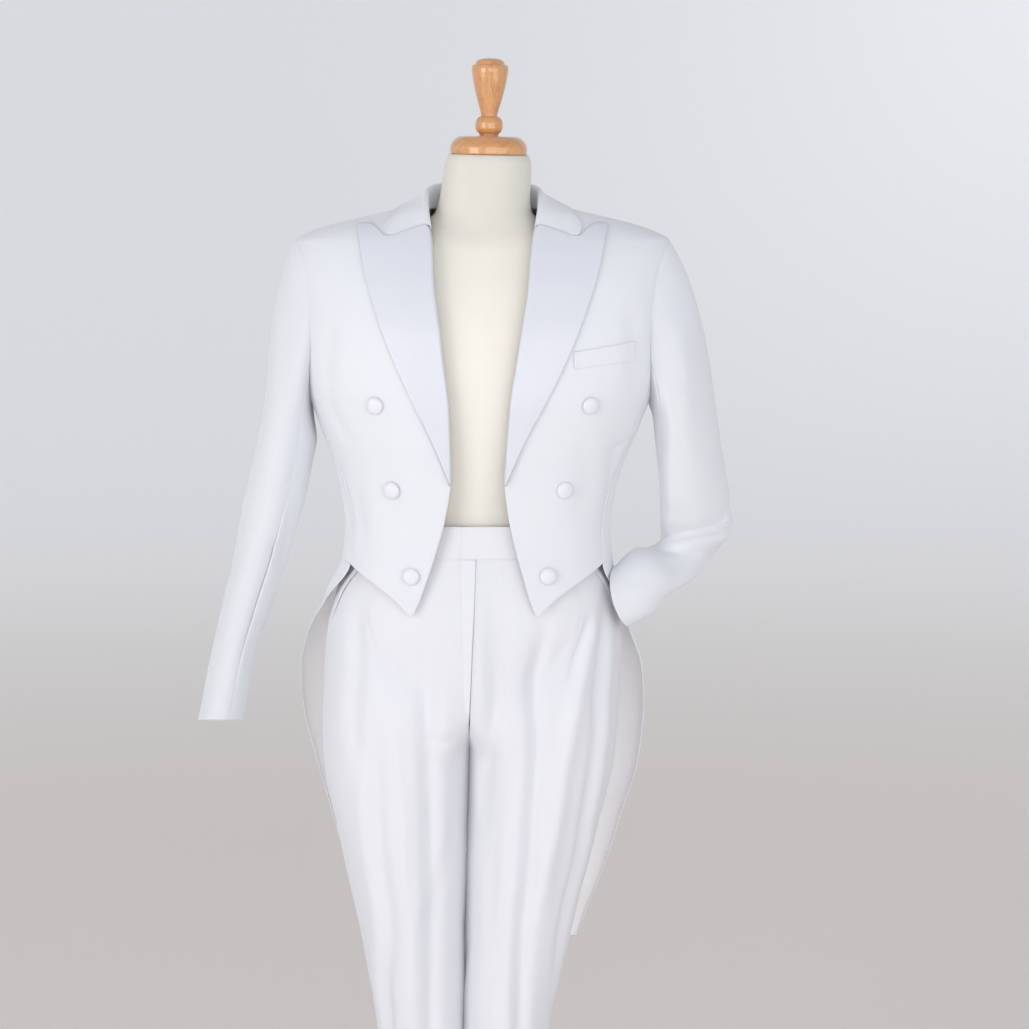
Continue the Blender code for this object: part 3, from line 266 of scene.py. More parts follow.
def finish_material(name, colour, shade, scale, amount, roughness, vector="Object"):
    """A Principled material whose colour comes from the soft tone group."""
    material = bpy.data.materials.new(name)
    material.use_nodes = True
    tree = material.node_tree
    places = node(tree, "ShaderNodeTexCoord")
    group = node(tree, "ShaderNodeGroup", node_tree=tone, Vector=places.outputs[vector],
                 Scale=scale, Amount=amount, Colour=(*colour, 1.0), Shade=(*shade, 1.0))
    shader = fill(tree, tree.nodes["Principled BSDF"], Base_Color=group.outputs["Colour"],
                  Roughness=roughness)
    return material, tree, shader, places


def add_bump(tree, shader, height, distance, strength=1.0):
    bump = node(tree, "ShaderNodeBump", Distance=distance, Strength=strength, Height=height)
    fill(tree, shader, Normal=bump.outputs["Normal"])


def add_grain(tree, shader, vector, scale, detail, distance, strength=1.0, stretch=None):
    """Fine relief of a surface, which may be drawn out along one way."""
    if stretch:
        vector = node(tree, "ShaderNodeMapping", Scale=stretch, Vector=vector).outputs["Vector"]
    grain = node(tree, "ShaderNodeTexNoise", Scale=scale, Detail=detail, Vector=vector)
    add_bump(tree, shader, grain.outputs[0], distance, strength)


steel, steel_tree, steel_shader, steel_places = finish_material(
    "brushed_steel", (0.58, 0.58, 0.57), (0.40, 0.40, 0.40), 9.0, 0.5, 0.34)
fill(steel_tree, steel_shader, Metallic=1.0)
add_grain(steel_tree, steel_shader, steel_places.outputs["Object"], 900.0, 3.0, 0.00006,
          stretch=(1.0, 1.0, 0.02))


def turned_piece(name, profile, sides, material, replaced, foot, axis=(0.0, 0.0, 1.0)):
    """A turning as a piece of its own, in the place of its CAD node."""
    piece = linked(name, turned_mesh(name, profile, sides, foot, axis))
    piece.data.materials.append(material)
    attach(piece, "root")
    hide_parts(replaced)


turned_piece("steel_foot",
             rounded([(0, 0), (BASE_RADIUS, 0), (BASE_RADIUS, BASE_HEIGHT), (0.03, BASE_HEIGHT),
                      (0, BASE_HEIGHT)], 0.003),
             128, steel, "stand_base", (0, 0, 0))
turned_piece("steel_socket",
             rounded([(0, 0), (SOCKET_FLANGE, 0), (SOCKET_FLANGE, 0.004), (SOCKET_RADIUS, 0.006),
                      (SOCKET_RADIUS, SOCKET_HEIGHT - BASE_HEIGHT - SEAM),
                      (0, SOCKET_HEIGHT - BASE_HEIGHT - SEAM)], 0.0012),
             64, steel, "stand_socket", (POLE_X, POLE_Y, BASE_HEIGHT + SEAM))
pole_length = TORSO_FOOT - SEAM - SOCKET_HEIGHT - SEAM
turned_piece("steel_pole",
             rounded([(0, 0), (POLE_RADIUS, 0), (POLE_RADIUS, pole_length), (0, pole_length)],
                     0.001),
             64, steel, "stand_pole", (POLE_X, POLE_Y, SOCKET_HEIGHT + SEAM))


# ---- Dress form -----------------------------------------------------------------------
# A moulded body without arms or head, padded and covered in cream cotton jersey that is
# pulled tight and tucked under the wooden cap at the neck and round the edge below.

CAP_BOTTOM = 1.5285
NECK_FOOT = 1.450
FORM_TILT = math.radians(1.1)


def table(names, rows):
    """Columns by name, from rows that run down a table."""
    return {name: np.array(column, float) for name, column in zip(names.split(), zip(*rows))}


CENTRE_LINE = table("height x", [
    (0.030, -0.032),
    (0.400, -0.024),
    (0.820, -0.0135),
    (1.000, -0.006),
    (1.270, 0.000),
    (1.434, 0.0025),
    (1.530, 0.010),
    (1.650, 0.012),
])
# Level rings: front, back and side_y are depths from the side plane
TORSO = table("height half_width front back side_y power", [
    (TORSO_FOOT, 0.168, 0.096, 0.112, 0.008, 2.3),
    (0.900, 0.168, 0.098, 0.112, 0.006, 2.3),
    (0.970, 0.156, 0.096, 0.102, 0.003, 2.3),
    (1.030, 0.142, 0.092, 0.090, 0.000, 2.3),
    (1.065, 0.138, 0.091, 0.087, 0.000, 2.3),
    (1.120, 0.150, 0.101, 0.094, 0.000, 2.3),
    (1.180, 0.172, 0.112, 0.105, 0.002, 2.3),
    (1.240, 0.190, 0.118, 0.115, 0.004, 2.3),
    (1.300, 0.200, 0.111, 0.118, 0.006, 2.3),
    (1.350, 0.203, 0.094, 0.110, 0.008, 2.3),
    (1.390, 0.197, 0.072, 0.096, 0.010, 2.3),
    (1.410, 0.180, 0.060, 0.088, 0.011, 2.3),
    (1.423, 0.146, 0.054, 0.083, 0.012, 2.2),
    (1.433, 0.108, 0.050, 0.078, 0.012, 2.1),
    (1.443, 0.078, 0.048, 0.073, 0.012, 2.0),
    (1.456, 0.0615, 0.046, 0.069, 0.011, 2.0),
    (1.476, 0.0575, 0.0455, 0.0675, 0.011, 2.0),
    (1.505, 0.0560, 0.0450, 0.0670, 0.011, 2.0),
    (1.520, 0.0545, 0.0435, 0.0655, 0.011, 2.0),
    (CAP_BOTTOM - SEAM, 0.0505, 0.0395, 0.0615, 0.011, 2.0),
])


def at(rows, name, height, key="height"):
    """A table's column at some heights, on a smooth curve that never overshoots its rows."""
    x, y = rows[key], rows[name]
    slope = np.diff(y) / np.diff(x)
    tangent = np.zeros(len(x))
    same = slope[:-1] * slope[1:] > 0
    inner = np.zeros(len(x) - 2)
    inner[same] = 2 * slope[:-1][same] * slope[1:][same] / (slope[:-1] + slope[1:])[same]
    tangent[1:-1] = inner
    tangent[0], tangent[-1] = slope[0], slope[-1]
    height = np.clip(height, x[0], x[-1])
    i = np.clip(np.searchsorted(x, height, side="right") - 1, 0, len(x) - 2)
    step = x[i + 1] - x[i]
    t = (height - x[i]) / step
    rise = y[i] * (1 + 2 * t) * (1 - t) ** 2 + y[i + 1] * t * t * (3 - 2 * t)
    return rise + step * (tangent[i] * t * (1 - t) ** 2 - tangent[i + 1] * t * t * (1 - t))


def centre_x(height):
    return at(CENTRE_LINE, "x", height)


def ring(rings, angle, height, side):
    """Places on level rings: 0 degrees is the middle front, 90 the side, 180 the middle back."""
    angle, height = np.broadcast_arrays(np.asarray(angle, float), np.asarray(height, float))
    power, side_y = at(rings, "power", height), at(rings, "side_y", height)
    front, back = at(rings, "front", height), at(rings, "back", height)
    turn = np.radians(angle)
    out = np.abs(np.sin(turn)) ** (2 / power) * np.sign(turn)
    depth = np.abs(np.cos(turn)) ** (2 / power)
    y = np.where(np.cos(turn) >= 0, side_y - (front + side_y) * depth,
                 side_y + (back - side_y) * depth)
    x = centre_x(height) + side * at(rings, "half_width", height) * out
    return np.stack([x, y, height], axis=-1)


def lengths(line):
    """Distance along a line of points, from its start."""
    return np.concatenate([[0.0], np.cumsum(np.linalg.norm(np.diff(line, axis=0), axis=1))])


def smooth_step(share):
    share = np.clip(share, 0.0, 1.0)
    return share * share * (3 - 2 * share)


torso_rows = np.unique(np.concatenate([np.linspace(TORSO_FOOT, 1.405, 120),
                                       np.linspace(1.405, 1.46, 60),
                                       np.linspace(1.46, CAP_BOTTOM - SEAM, 24)]))
torso_turns = np.linspace(0.0, 360.0, 181)[:-1]
torso_turns = np.where(torso_turns <= 180.0, torso_turns, torso_turns - 360.0)
torso_grid = ring(TORSO, torso_turns[None, :], torso_rows[:, None], 1.0)
neck_share = np.clip((torso_rows - NECK_FOOT) / (CAP_BOTTOM - NECK_FOOT), 0.0, 1.0)[:, None]
torso_grid[:, :, 2] -= ((torso_grid[:, :, 0] - centre_x(torso_rows)[:, None])
                        * math.tan(FORM_TILT) * neck_share)


def ring_mesh(name, grid):
    """A closed body through rings of points, with UVs in metres round and up it."""
    rows, columns = grid.shape[:2]
    index = np.arange(rows * columns).reshape(rows, columns)
    after = np.roll(index, -1, axis=1)
    quads = np.stack([index[:-1], after[:-1], after[1:], index[1:]], axis=-1).reshape(-1, 4)
    ends = [grid[:1].mean(axis=1), grid[-1:].mean(axis=1)]
    points = np.concatenate([grid.reshape(-1, 3), *ends])
    faces = quads.tolist()
    faces += [(rows * columns, b, a) for a, b in zip(index[0], after[0])]
    faces += [(rows * columns + 1, a, b) for a, b in zip(index[-1], after[-1])]
    mesh = bpy.data.meshes.new(name)
    mesh.from_pydata(points.tolist(), [], faces)
    mesh.shade_smooth()
    loops = np.concatenate([grid, grid[:, :1]], axis=1)
    girth = np.linalg.norm(np.diff(loops, axis=1), axis=2).sum(axis=1).max()
    up = lengths(grid[:, columns // 4])
    layer = mesh.uv_layers.new(name="UVMap")
    corner = np.zeros(len(mesh.loops), int)
    mesh.loops.foreach_get("vertex_index", corner)
    column = np.where(corner < rows * columns, corner % columns, 0)
    row = np.where(corner < rows * columns, corner // columns, 0)
    # the last column of faces ends one turn on, so that the pattern doesn't run back
    quad_corner = np.arange(len(quads) * 4) % 4
    column = column.astype(float)
    column[:len(quads) * 4][(column[:len(quads) * 4] == 0)
                            & ((quad_corner == 1) | (quad_corner == 2))] = columns
    uv = np.stack([column / columns * girth, up[row]], axis=-1)
    layer.data.foreach_set("uv", uv.ravel())
    return mesh


# Jersey: columns of small V-shaped stitches
jersey, jersey_tree, jersey_shader, jersey_places = finish_material(
    "cream_jersey", (0.93, 0.90, 0.82), (0.85, 0.815, 0.72), 14.0, 0.45, 0.92, "UV")
knit, knit_in, knit_out = new_group(
    "knitted stitches",
    [("Vector", "NodeSocketVector", None), ("Stitch", "NodeSocketFloat", 0.0014)],
    [("Height", "NodeSocketFloat")])
knit_split = node(knit, "ShaderNodeSeparateXYZ", Vector=knit_in.outputs["Vector"])
knit_math = partial(arithmetic, knit)
knit_u, knit_v = (knit_math("DIVIDE", knit_split.outputs[k], knit_in.outputs["Stitch"])
                  for k in (0, 1))
knit_across = knit_math("ABSOLUTE", knit_math("SUBTRACT", knit_math("FRACT", knit_u), 0.5))
knit_slant = knit_math("ADD", knit_math("MULTIPLY", knit_v, 1.3),
                       knit_math("MULTIPLY", knit_across, 1.6))
knit_wave = knit_math("SINE", knit_math("MULTIPLY", knit_slant, 2 * math.pi))
knit_groove = knit_math("MULTIPLY", knit_math("SINE", knit_math(
    "MULTIPLY", knit_across, 2 * math.pi)), 0.8)
fill(knit, knit_out,
     Height=knit_math("ADD", knit_math("MULTIPLY", knit_wave, 0.35), knit_groove))
jersey_knit = node(jersey_tree, "ShaderNodeGroup", node_tree=knit, Stitch=0.0015,
                   Vector=jersey_places.outputs["UV"])
add_bump(jersey_tree, jersey_shader, jersey_knit.outputs["Height"], 0.00016)
fill(jersey_tree, jersey_shader, Sheen_Weight=0.15, Sheen_Roughness=0.5)

form_body = linked("form_body", ring_mesh("form_body", torso_grid))
form_body.data.materials.append(jersey)
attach(form_body, "root")
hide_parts("form_torso")


# ---- Neck cap and finial --------------------------------------------------------------
# Two turnings of pale reddish hardwood under a thick gloss varnish. The flat cap closes
# the neck, and the finial, with its collar, waist and round foot, is glued into it.

CAP_RADIUS = 0.0494
CAP_PROFILE = table("radius rise", [
    (0.0480, 0.0000),
    (CAP_RADIUS, 0.0015),
    (CAP_RADIUS, 0.0085),
    (0.0478, 0.0135),
    (0.0440, 0.0185),
    (0.0385, 0.0220),
    (0.0350, 0.0228),
])
FINIAL_PROFILE = table("radius rise", [
    (0.0123, 0.0231),
    (0.0123, 0.0252),
    (0.0155, 0.0285),
    (0.0175, 0.0340),
    (0.0175, 0.0390),
    (0.0155, 0.0450),
    (0.0120, 0.0478),
    (0.0104, 0.0486),
    (0.0112, 0.0530),
    (0.0150, 0.0660),
    (0.0195, 0.0830),
    (0.0225, 0.0990),
    (0.0235, 0.1070),
    (0.0228, 0.1115),
    (0.0185, 0.1145),
    (0.0180, 0.1165),
    (0.0140, 0.1195),
])
FINIAL_TOP = 0.1215
form_foot = (float(centre_x(CAP_BOTTOM)), 0.011, CAP_BOTTOM)
form_lean = (math.sin(FORM_TILT), 0.0, math.cos(FORM_TILT))


def soft_profile(profile, steps):
    """A turned profile as one smooth line through its table's rows."""
    run = lengths(np.stack([profile["radius"], profile["rise"]], axis=1))
    rows = {"run": run, **profile}
    places = np.linspace(0.0, run[-1], steps)
    return list(zip(at(rows, "radius", places, "run"), at(rows, "rise", places, "run")))


def varnished(name, squeeze):
    """Pale hardwood under gloss varnish, its fine grain drawn out along one way."""
    wood, tree, shader, places = finish_material(
        name, (0.60, 0.27, 0.085), (0.36, 0.13, 0.035), 24.0, 0.45, 0.30)
    turned = node(tree, "ShaderNodeMapping", Scale=squeeze, Rotation=(0.04, 0.05, 0.0),
                  Vector=places.outputs["Object"])
    fine, broad = (node(tree, "ShaderNodeTexNoise", Vector=turned.outputs["Vector"], **grain)
                   for grain in (
                       {"Scale": 560.0, "Detail": 5.0, "Roughness": 0.6, "Distortion": 0.4},
                       {"Scale": 95.0, "Detail": 3.0, "Roughness": 0.5, "Distortion": 0.8}))
    ramp = node(tree, "ShaderNodeValToRGB",
                Fac=arithmetic(tree, "MULTIPLY", fine.outputs[0], broad.outputs[0]))
    for stop, place, colour in zip(ramp.color_ramp.elements, (0.12, 0.42), (
            (0.74, 0.38, 0.150, 1.0), (0.52, 0.215, 0.066, 1.0))):
        stop.position, stop.color = place, colour
    fill(tree, shader, Base_Color=ramp.outputs[0], Coat_Weight=1.0, Coat_Roughness=0.08)
    add_bump(tree, shader, fine.outputs[0], 0.00005)
    return wood


turned_piece("neck_cap", [(0.0, 0.0)] + soft_profile(CAP_PROFILE, 40) + [(0.0, 0.0228)],
             96, varnished("cap_wood", (0.09, 1.0, 1.0)), "form_neck_cap",
             form_foot, form_lean)
turned_piece("finial", [(0.0, 0.0231)] + soft_profile(FINIAL_PROFILE, 110)
             + [(0.0095, 0.1208), (0.005, 0.1213), (0.0, FINIAL_TOP)],
             96, varnished("finial_wood", (1.0, 1.0, 0.06)), "form_finial",
             form_foot, form_lean)


# ---- Trousers -------------------------------------------------------------------------
# Flat white twill suiting in four panels, two fronts and two backs, joined at the side
# seams, the inseams and the centre. Each leg is pressed with a crease, the fronts have a
# soft pleat under the waistband, and long uneven folds hang from the hips to the hem.

WALL = 0.0020
SEAM_BULGE = 0.0004      # how far a sewn edge rounds over
SEAM_PRESS = 0.0004      # how far sewn edges press into each other
SEAM_GROOVE = 0.00035
SEAM_PUCKER = 0.00016    # how far the cloth puckers beside its stitches
TURNED_RISE = 0.0004     # how far a folded edge stands up
HANG_WAVE = 0.00045      # usual waviness of hung cloth
STEP = 0.0042            # usual distance between the points of a trouser panel
EDGE_STEPS = (0.0, 0.0024, 0.0046, 0.0075)      # closer points along every edge
WAISTBAND_TOP = 1.065
WAISTBAND_SEAM = 1.024
CROTCH = 0.765
TROUSER_HEM = 0.035
LEG_BLEND_TOP = 0.960
LEG_BLEND_END = 0.800

SIDES = (("right", -1.0), ("left", 1.0))        # the wearer's
FORWARD = (0.0, -1.0, 0.0)

TROUSERS = table("height half_width front back side_y power inner inner_power", [
    (0.035, 0.1035, 0.062, 0.100, 0.020, 2.1, -0.0040, 2.2),
    (0.170, 0.1050, 0.064, 0.098, 0.018, 2.1, -0.0040, 2.2),
    (0.280, 0.1080, 0.068, 0.098, 0.016, 2.1, -0.0040, 2.2),
    (0.380, 0.1140, 0.074, 0.100, 0.014, 2.1, -0.0040, 2.2),
    (0.465, 0.1280, 0.081, 0.105, 0.012, 2.1, -0.0040, 2.2),
    (0.565, 0.1490, 0.090, 0.112, 0.011, 2.1, -0.0040, 2.2),
    (0.663, 0.1715, 0.099, 0.120, 0.010, 2.2, -0.0040, 2.2),
    (0.751, 0.1890, 0.106, 0.128, 0.010, 2.2, -0.0040, 2.6),
    (0.810, 0.1920, 0.110, 0.133, 0.010, 2.3, 0.0002, 5.5),
    (0.860, 0.1920, 0.113, 0.134, 0.009, 2.3, 0.0002, 9.0),
    (0.910, 0.1902, 0.113, 0.128, 0.007, 2.3, 0.0002, 12.0),
    (0.970, 0.1800, 0.110, 0.116, 0.003, 2.3, 0.0002, 12.0),
    (1.024, 0.1565, 0.1055, 0.103, 0.000, 2.3, 0.0002, 12.0),
    (1.065, 0.1510, 0.1030, 0.0985, 0.000, 2.3, 0.0002, 12.0),
])
CROTCH_SEAM = table("height front_turn back_turn", [
    (CROTCH, 90.0, 90.0),
    (0.785, 66.0, 70.0),
    (0.810, 40.0, 46.0),
    (0.840, 14.0, 20.0),
    (0.870, 3.0, 5.0),
    (1.065, 3.0, 5.0),
])


def trouser_surface(side, face, share, height):
    """Outside of a trouser panel: share runs from the side seam to the centre or the inseam."""
    share, height = np.broadcast_arrays(np.asarray(share, float), np.asarray(height, float))
    half, inner = at(TROUSERS, "half_width", height), at(TROUSERS, "inner", height)
    power, side_y = at(TROUSERS, "power", height), at(TROUSERS, "side_y", height)
    reach = at(TROUSERS, "front" if face < 0 else "back", height) - face * side_y
    turn = math.pi / 2 * (1 - share)
    body_x = np.maximum(half * np.abs(np.sin(turn)) ** (2 / power), inner)
    body_y = side_y + face * reach * np.abs(np.cos(turn)) ** (2 / power)
    middle = (half + inner) / 2
    outer_turn = math.pi * np.minimum(share, 0.5)
    square = at(TROUSERS, "inner_power", height)
    last = np.radians(at(CROTCH_SEAM, "front_turn" if face < 0 else "back_turn", height))
    last = np.where(height > CROTCH, last, math.pi / 2)
    inner_turn = last * np.clip(share - 0.5, 0.0, 0.5) * 2
    leg_x = np.where(share <= 0.5,
                     middle + (half - middle) * np.abs(np.cos(outer_turn)) ** (2 / power),
                     middle - (middle - inner)
                     * np.abs(np.sin(inner_turn) / np.sin(last)) ** (2 / square))
    leg_y = np.where(share <= 0.5, np.abs(np.sin(outer_turn)) ** (2 / power),
                     np.abs(np.cos(inner_turn)) ** (2 / square))
    leg_y = side_y + face * reach * leg_y
    blend = smooth_step((LEG_BLEND_TOP - height) / (LEG_BLEND_TOP - LEG_BLEND_END))
    x = body_x + (leg_x - body_x) * blend
    y = body_y + (leg_y - body_y) * blend
    return np.stack([centre_x(height) + side * x, y, height], axis=-1)


def spread(length, step):
    """Shares of a length, closer together at its two ends."""
    ends = np.array(EDGE_STEPS) / length
    count = max(int(round((length - 2 * EDGE_STEPS[-1]) / step)), 2)
    middle = np.linspace(ends[-1], 1 - ends[-1], count + 1)
    return np.concatenate([ends[:-1], middle, 1 - ends[:-1][::-1]])


def unit(vectors):
    return vectors / np.maximum(np.linalg.norm(vectors, axis=-1, keepdims=True), 1e-9)


def grid_normals(grid, outward):
    """Normals of a grid, on the side that outward points to at the grid's middle."""
    across = np.gradient(grid, axis=1)
    along = np.gradient(grid, axis=0)
    normals = unit(np.cross(across, along))
    middle = (grid.shape[0] // 2, grid.shape[1] // 2)
    return normals if normals[middle] @ outward > 0 else -normals


def edge_distance(grid, edge):
    """Distance of each point from one edge of its grid, along the row or the column."""
    axis = 1 if edge in ("first", "last") else 0
    steps = np.linalg.norm(np.diff(grid, axis=axis), axis=2)
    run = np.concatenate([np.zeros_like(np.take(steps, [0], axis)), np.cumsum(steps, axis=axis)],
                         axis=axis)
    return run if edge in ("first", "bottom") else np.take(run, [-1], axis) - run


def unevenness(points):
    """The slight waviness that all hung cloth has, the same wherever two pieces meet."""
    x, y, z = points[..., 0], points[..., 1], points[..., 2]
    wave = np.sin(31 * x + 17 * z + 2.1 * np.sin(23 * y + 5 * z) + 0.7)
    wave += 0.8 * np.sin(-19 * x + 41 * z * (1 + 0.1 * np.sin(9 * x)) + 27 * y + 2.2)
    wave += 0.6 * np.sin(57 * x - 13 * z + 38 * y + 4.0) * np.sin(21 * z + 11 * y)
    return wave


def beside_line(points, normals, line):
    """Distance of each point from a line that lies on the cloth, with a sign for the side
    that it is on, and its share of the way along the line."""
    nearest = np.full(points.shape[:-1], np.inf)
    signed, share = np.zeros_like(nearest), np.zeros_like(nearest)
    run = lengths(line)
    for start, way, before in zip(line, np.diff(line, axis=0), run):
        size = np.linalg.norm(way)
        place = np.clip((points - start) @ way / size ** 2, 0.0, 1.0)
        off = points - start - place[..., None] * way
        depth = (off * normals).sum(axis=-1, keepdims=True)
        off -= depth * normals
        distance = np.linalg.norm(off, axis=-1)
        distance += np.maximum(np.abs(depth[..., 0]) - 0.012, 0.0)
        nearer = distance < nearest
        nearest = np.where(nearer, distance, nearest)
        turn = np.sign((np.cross(way, normals) * off).sum(axis=-1))
        signed = np.where(nearer, distance * turn, signed)
        share = np.where(nearer, (before + place * size) / run[-1], share)
    return signed, share


VIEWS = {"front": (0, FORWARD), "back": (0, (0.0, 1.0, 0.0)),
         "left": (1, (1.0, 0.0, 0.0)), "right": (1, (-1.0, 0.0, 0.0))}


def fold_line(points, normals, view, places):
    """A smooth line on the cloth through places seen from one view: across, height, in mm."""
    axis, toward = VIEWS[view]
    facing = (normals @ np.array(toward)) > 0.05
    if not facing.any():
        return None
    seen = points[facing]
    line = []
    for across, height in np.array(places) / 1000:
        far = (seen[:, axis] - across) ** 2 + (seen[:, 2] - height) ** 2
        place = seen[far.argmin()]
        if far.min() < 0.03 ** 2 and not any((place == other).all() for other in line):
            line.append(place)
    if len(line) < 2:
        return None
    if len(line) == 2:
        return np.linspace(line[0], line[1], 6)
    line = np.array(line)
    run = lengths(line)
    rows = {"run": run, "x": line[:, 0], "y": line[:, 1], "z": line[:, 2]}
    steps = np.linspace(0.0, run[-1], 6 * len(line))
    return np.stack([at(rows, name, steps, "run") for name in "xyz"], axis=-1)


def fold_lines(grid, outward, folds):
    """Folds laid out on a panel. Each is given as its view, its places, its depth in
    millimetres, below zero for a trough, its width, below zero for a pressed crease, and its
    lean: how much more the cloth swells on one side of it. With a lean past 1, the cloth on
    one side of the line laps over the other side."""
    normals = grid_normals(grid, outward)
    laid = [(fold_line(grid, normals, view, places), np.array(VIEWS[view][1]), *shape)
            for view, places, *shape in folds]
    return [fold for fold in laid if fold[0] is not None]


def soft_folds(points, normals, folds):
    """How far the folds that are laid out by fold_lines move each point out."""
    rise = np.zeros(points.shape[:-1])
    for line, toward, depth, width, lean in folds:
        signed, share = beside_line(points, normals, line)
        lap = abs(lean) > 1
        fade = smooth_step(share / (0.08 if lap else 0.22))
        fade *= smooth_step((1 - share) / (0.10 if lap else 0.28))
        fade *= smooth_step(0.5 + 1.5 * (normals @ toward))
        size = abs(width) / 1000
        if lap:
            shape = np.tanh(signed / (0.3 * size)) * np.exp(-np.abs(signed) / (2.2 * size))
            shape *= np.sign(lean)
        elif width < 0:
            shape = np.exp(-np.abs(signed) / size)
        else:
            shape = np.exp(-(signed / size) ** 2)
            left = np.exp(-((signed + 1.9 * size) / (1.3 * size)) ** 2)
            right = np.exp(-((signed - 1.9 * size) / (1.3 * size)) ** 2)
            shape -= 0.35 * ((1 - lean) * left + (1 + lean) * right)
        rise += depth / 1000 * shape * fade
    return rise


EDGES = (("first", np.s_[:, 0], np.s_[:, 1]), ("last", np.s_[:, -1], np.s_[:, -2]),
         ("bottom", np.s_[0], np.s_[1]), ("top", np.s_[-1], np.s_[-2]))


def cut_of(grid):
    """The flat width and length of a panel, and its flat area, from its unfolded surface."""
    widths = np.linalg.norm(np.diff(grid, axis=1), axis=2).sum(axis=1)
    heights = np.linalg.norm(np.diff(grid, axis=0), axis=2).sum(axis=0)
    area = np.linalg.norm(np.cross(grid[1:, 1:] - grid[:-1, :-1], grid[1:, :-1] - grid[:-1, 1:]),
                          axis=2).sum() / 2
    width, length = float(widths.max()), float(heights.max())
    return width, length, float(min(area, width * length))


def cloth(name, grid, outward, outside, inside, folds=(), seams=(), turned=(), thickness=WALL,
          wave=HANG_WAVE):
    """A sewn piece as a closed shell with rolled edges: outer layer, inner layer and rim.
    seams are edges sewn to a neighbour and turned are edges folded under and pressed."""
    grid = np.array(grid, float)
    normals = grid_normals(grid, outward)
    rise = wave * unevenness(grid) + soft_folds(grid, normals, folds)
    for edge in seams:
        far = edge_distance(grid, edge)
        other = "bottom" if edge in ("first", "last") else "first"
        along = edge_distance(grid, other)
        pucker = np.sin(along * 330 + 3 * np.sin(along * 41)) * (0.6 + 0.4 * np.sin(along * 67))
        rise += SEAM_PUCKER * np.exp(-far / 0.007) * pucker
        rise -= SEAM_GROOVE * np.exp(-(far / 0.0028) ** 2)
    for edge in turned:
        far = edge_distance(grid, edge)
        rise += TURNED_RISE * smooth_step((0.0075 - far) / 0.003)
    outer = grid + normals * rise[..., None]
    normals = grid_normals(outer, outward)
    inner = outer - normals * thickness
    rows, columns = outer.shape[:2]
    bulge = np.full((rows, columns), thickness / 2)
    rim_index = ([(0, c) for c in range(columns)] + [(r, columns - 1) for r in range(1, rows)]
                 + [(rows - 1, c) for c in range(columns - 2, -1, -1)]
                 + [(r, 0) for r in range(rows - 2, 0, -1)])
    away = np.zeros_like(outer)
    for edge, here, there in EDGES:
        if edge in seams:
            bulge[here] = SEAM_BULGE
        way = unit(outer[here] - outer[there])
        away[here] += way
        inset = way * (SEAM_BULGE - SEAM_PRESS / 2 if edge in seams else thickness / 2)
        outer[here] -= inset
        inner[here] -= inset
    away = unit(away)
    border = tuple(np.array(rim_index).T)
    top, low, way = outer[border], inner[border], away[border] * bulge[border][:, None]
    rim = [(top + low) / 2 + (top - low) / 2 * math.cos(bend) + way * math.sin(bend)
           for bend in map(math.radians, (45.0, 90.0, 135.0))]
    count = rows * columns
    index = np.arange(count).reshape(rows, columns)
    quads = np.stack([index[:-1, :-1], index[:-1, 1:], index[1:, 1:], index[1:, :-1]], axis=-1)
    quads = quads.reshape(-1, 4)
    edge_top = index[border]
    lines = [edge_top] + [2 * count + k * len(edge_top) + np.arange(len(edge_top))
                          for k in range(3)] + [edge_top + count]
    sides = [np.stack([np.roll(a, -1), a, b, np.roll(b, -1)], axis=-1)
             for a, b in zip(lines, lines[1:])]
    faces = np.concatenate([quads] + sides + [quads[:, ::-1] + count])
    middle = (rows // 2, columns // 2)
    facing = np.cross(outer[middle[0], middle[1] + 1] - outer[middle],
                      outer[middle[0] + 1, middle[1]] - outer[middle])
    if facing @ normals[middle] < 0:
        faces = faces[:, ::-1]
    points = np.concatenate([outer.reshape(-1, 3), inner.reshape(-1, 3), *rim])
    mesh = bpy.data.meshes.new(name)
    mesh.from_pydata(points.tolist(), [], faces.tolist())
    mesh.shade_smooth()
    across = edge_distance(grid, "first")
    across = across - across[:, [columns // 2]]
    up = edge_distance(grid, "bottom")
    uv = np.stack([across, up], axis=-1).reshape(-1, 2)
    uv = np.concatenate([uv, uv, *[uv[edge_top]] * 3])
    corner = np.zeros(len(mesh.loops), int)
    mesh.loops.foreach_get("vertex_index", corner)
    mesh.uv_layers.new(name="UVMap").data.foreach_set("uv", uv[corner].ravel())
    mesh.materials.append(outside)
    if inside is not None:
        mesh.materials.append(inside)
        slots = np.zeros(len(faces), int)
        slots[len(faces) - len(quads):] = 1
        mesh.polygons.foreach_set("material_index", slots)
    piece = linked(name, mesh)
    piece["cut"] = cut_of(grid)
    return piece


def sewn(piece, nodes):
    """Fixes a cloth piece to the frame and hides the CAD nodes that it takes the place of."""
    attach(piece, "root")
    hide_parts(*nodes)


# Twill: slanting ribs made of short floats, with a finer thread across them
twill, twill_in, twill_out = new_group(
    "woven twill",
    [("Vector", "NodeSocketVector", None), ("Rib", "NodeSocketFloat", 0.0007),
     ("Slant", "NodeSocketFloat", 1.6)],
    [("Height", "NodeSocketFloat")])
twill_split = node(twill, "ShaderNodeSeparateXYZ", Vector=twill_in.outputs["Vector"])
twill_noise = node(twill, "ShaderNodeTexNoise", Scale=420.0, Detail=2.0,
                   Vector=twill_in.outputs["Vector"]).outputs[0]
twill_math = partial(arithmetic, twill)
twill_u, twill_v = (twill_math("DIVIDE", twill_split.outputs[k], twill_in.outputs["Rib"])
                    for k in (0, 1))
twill_line = twill_math("ADD", twill_u,
                        twill_math("DIVIDE", twill_v, twill_in.outputs["Slant"]))
twill_line = twill_math("ADD", twill_line, twill_noise)
twill_rib = twill_math("SINE", twill_math("MULTIPLY", twill_line, 2 * math.pi))
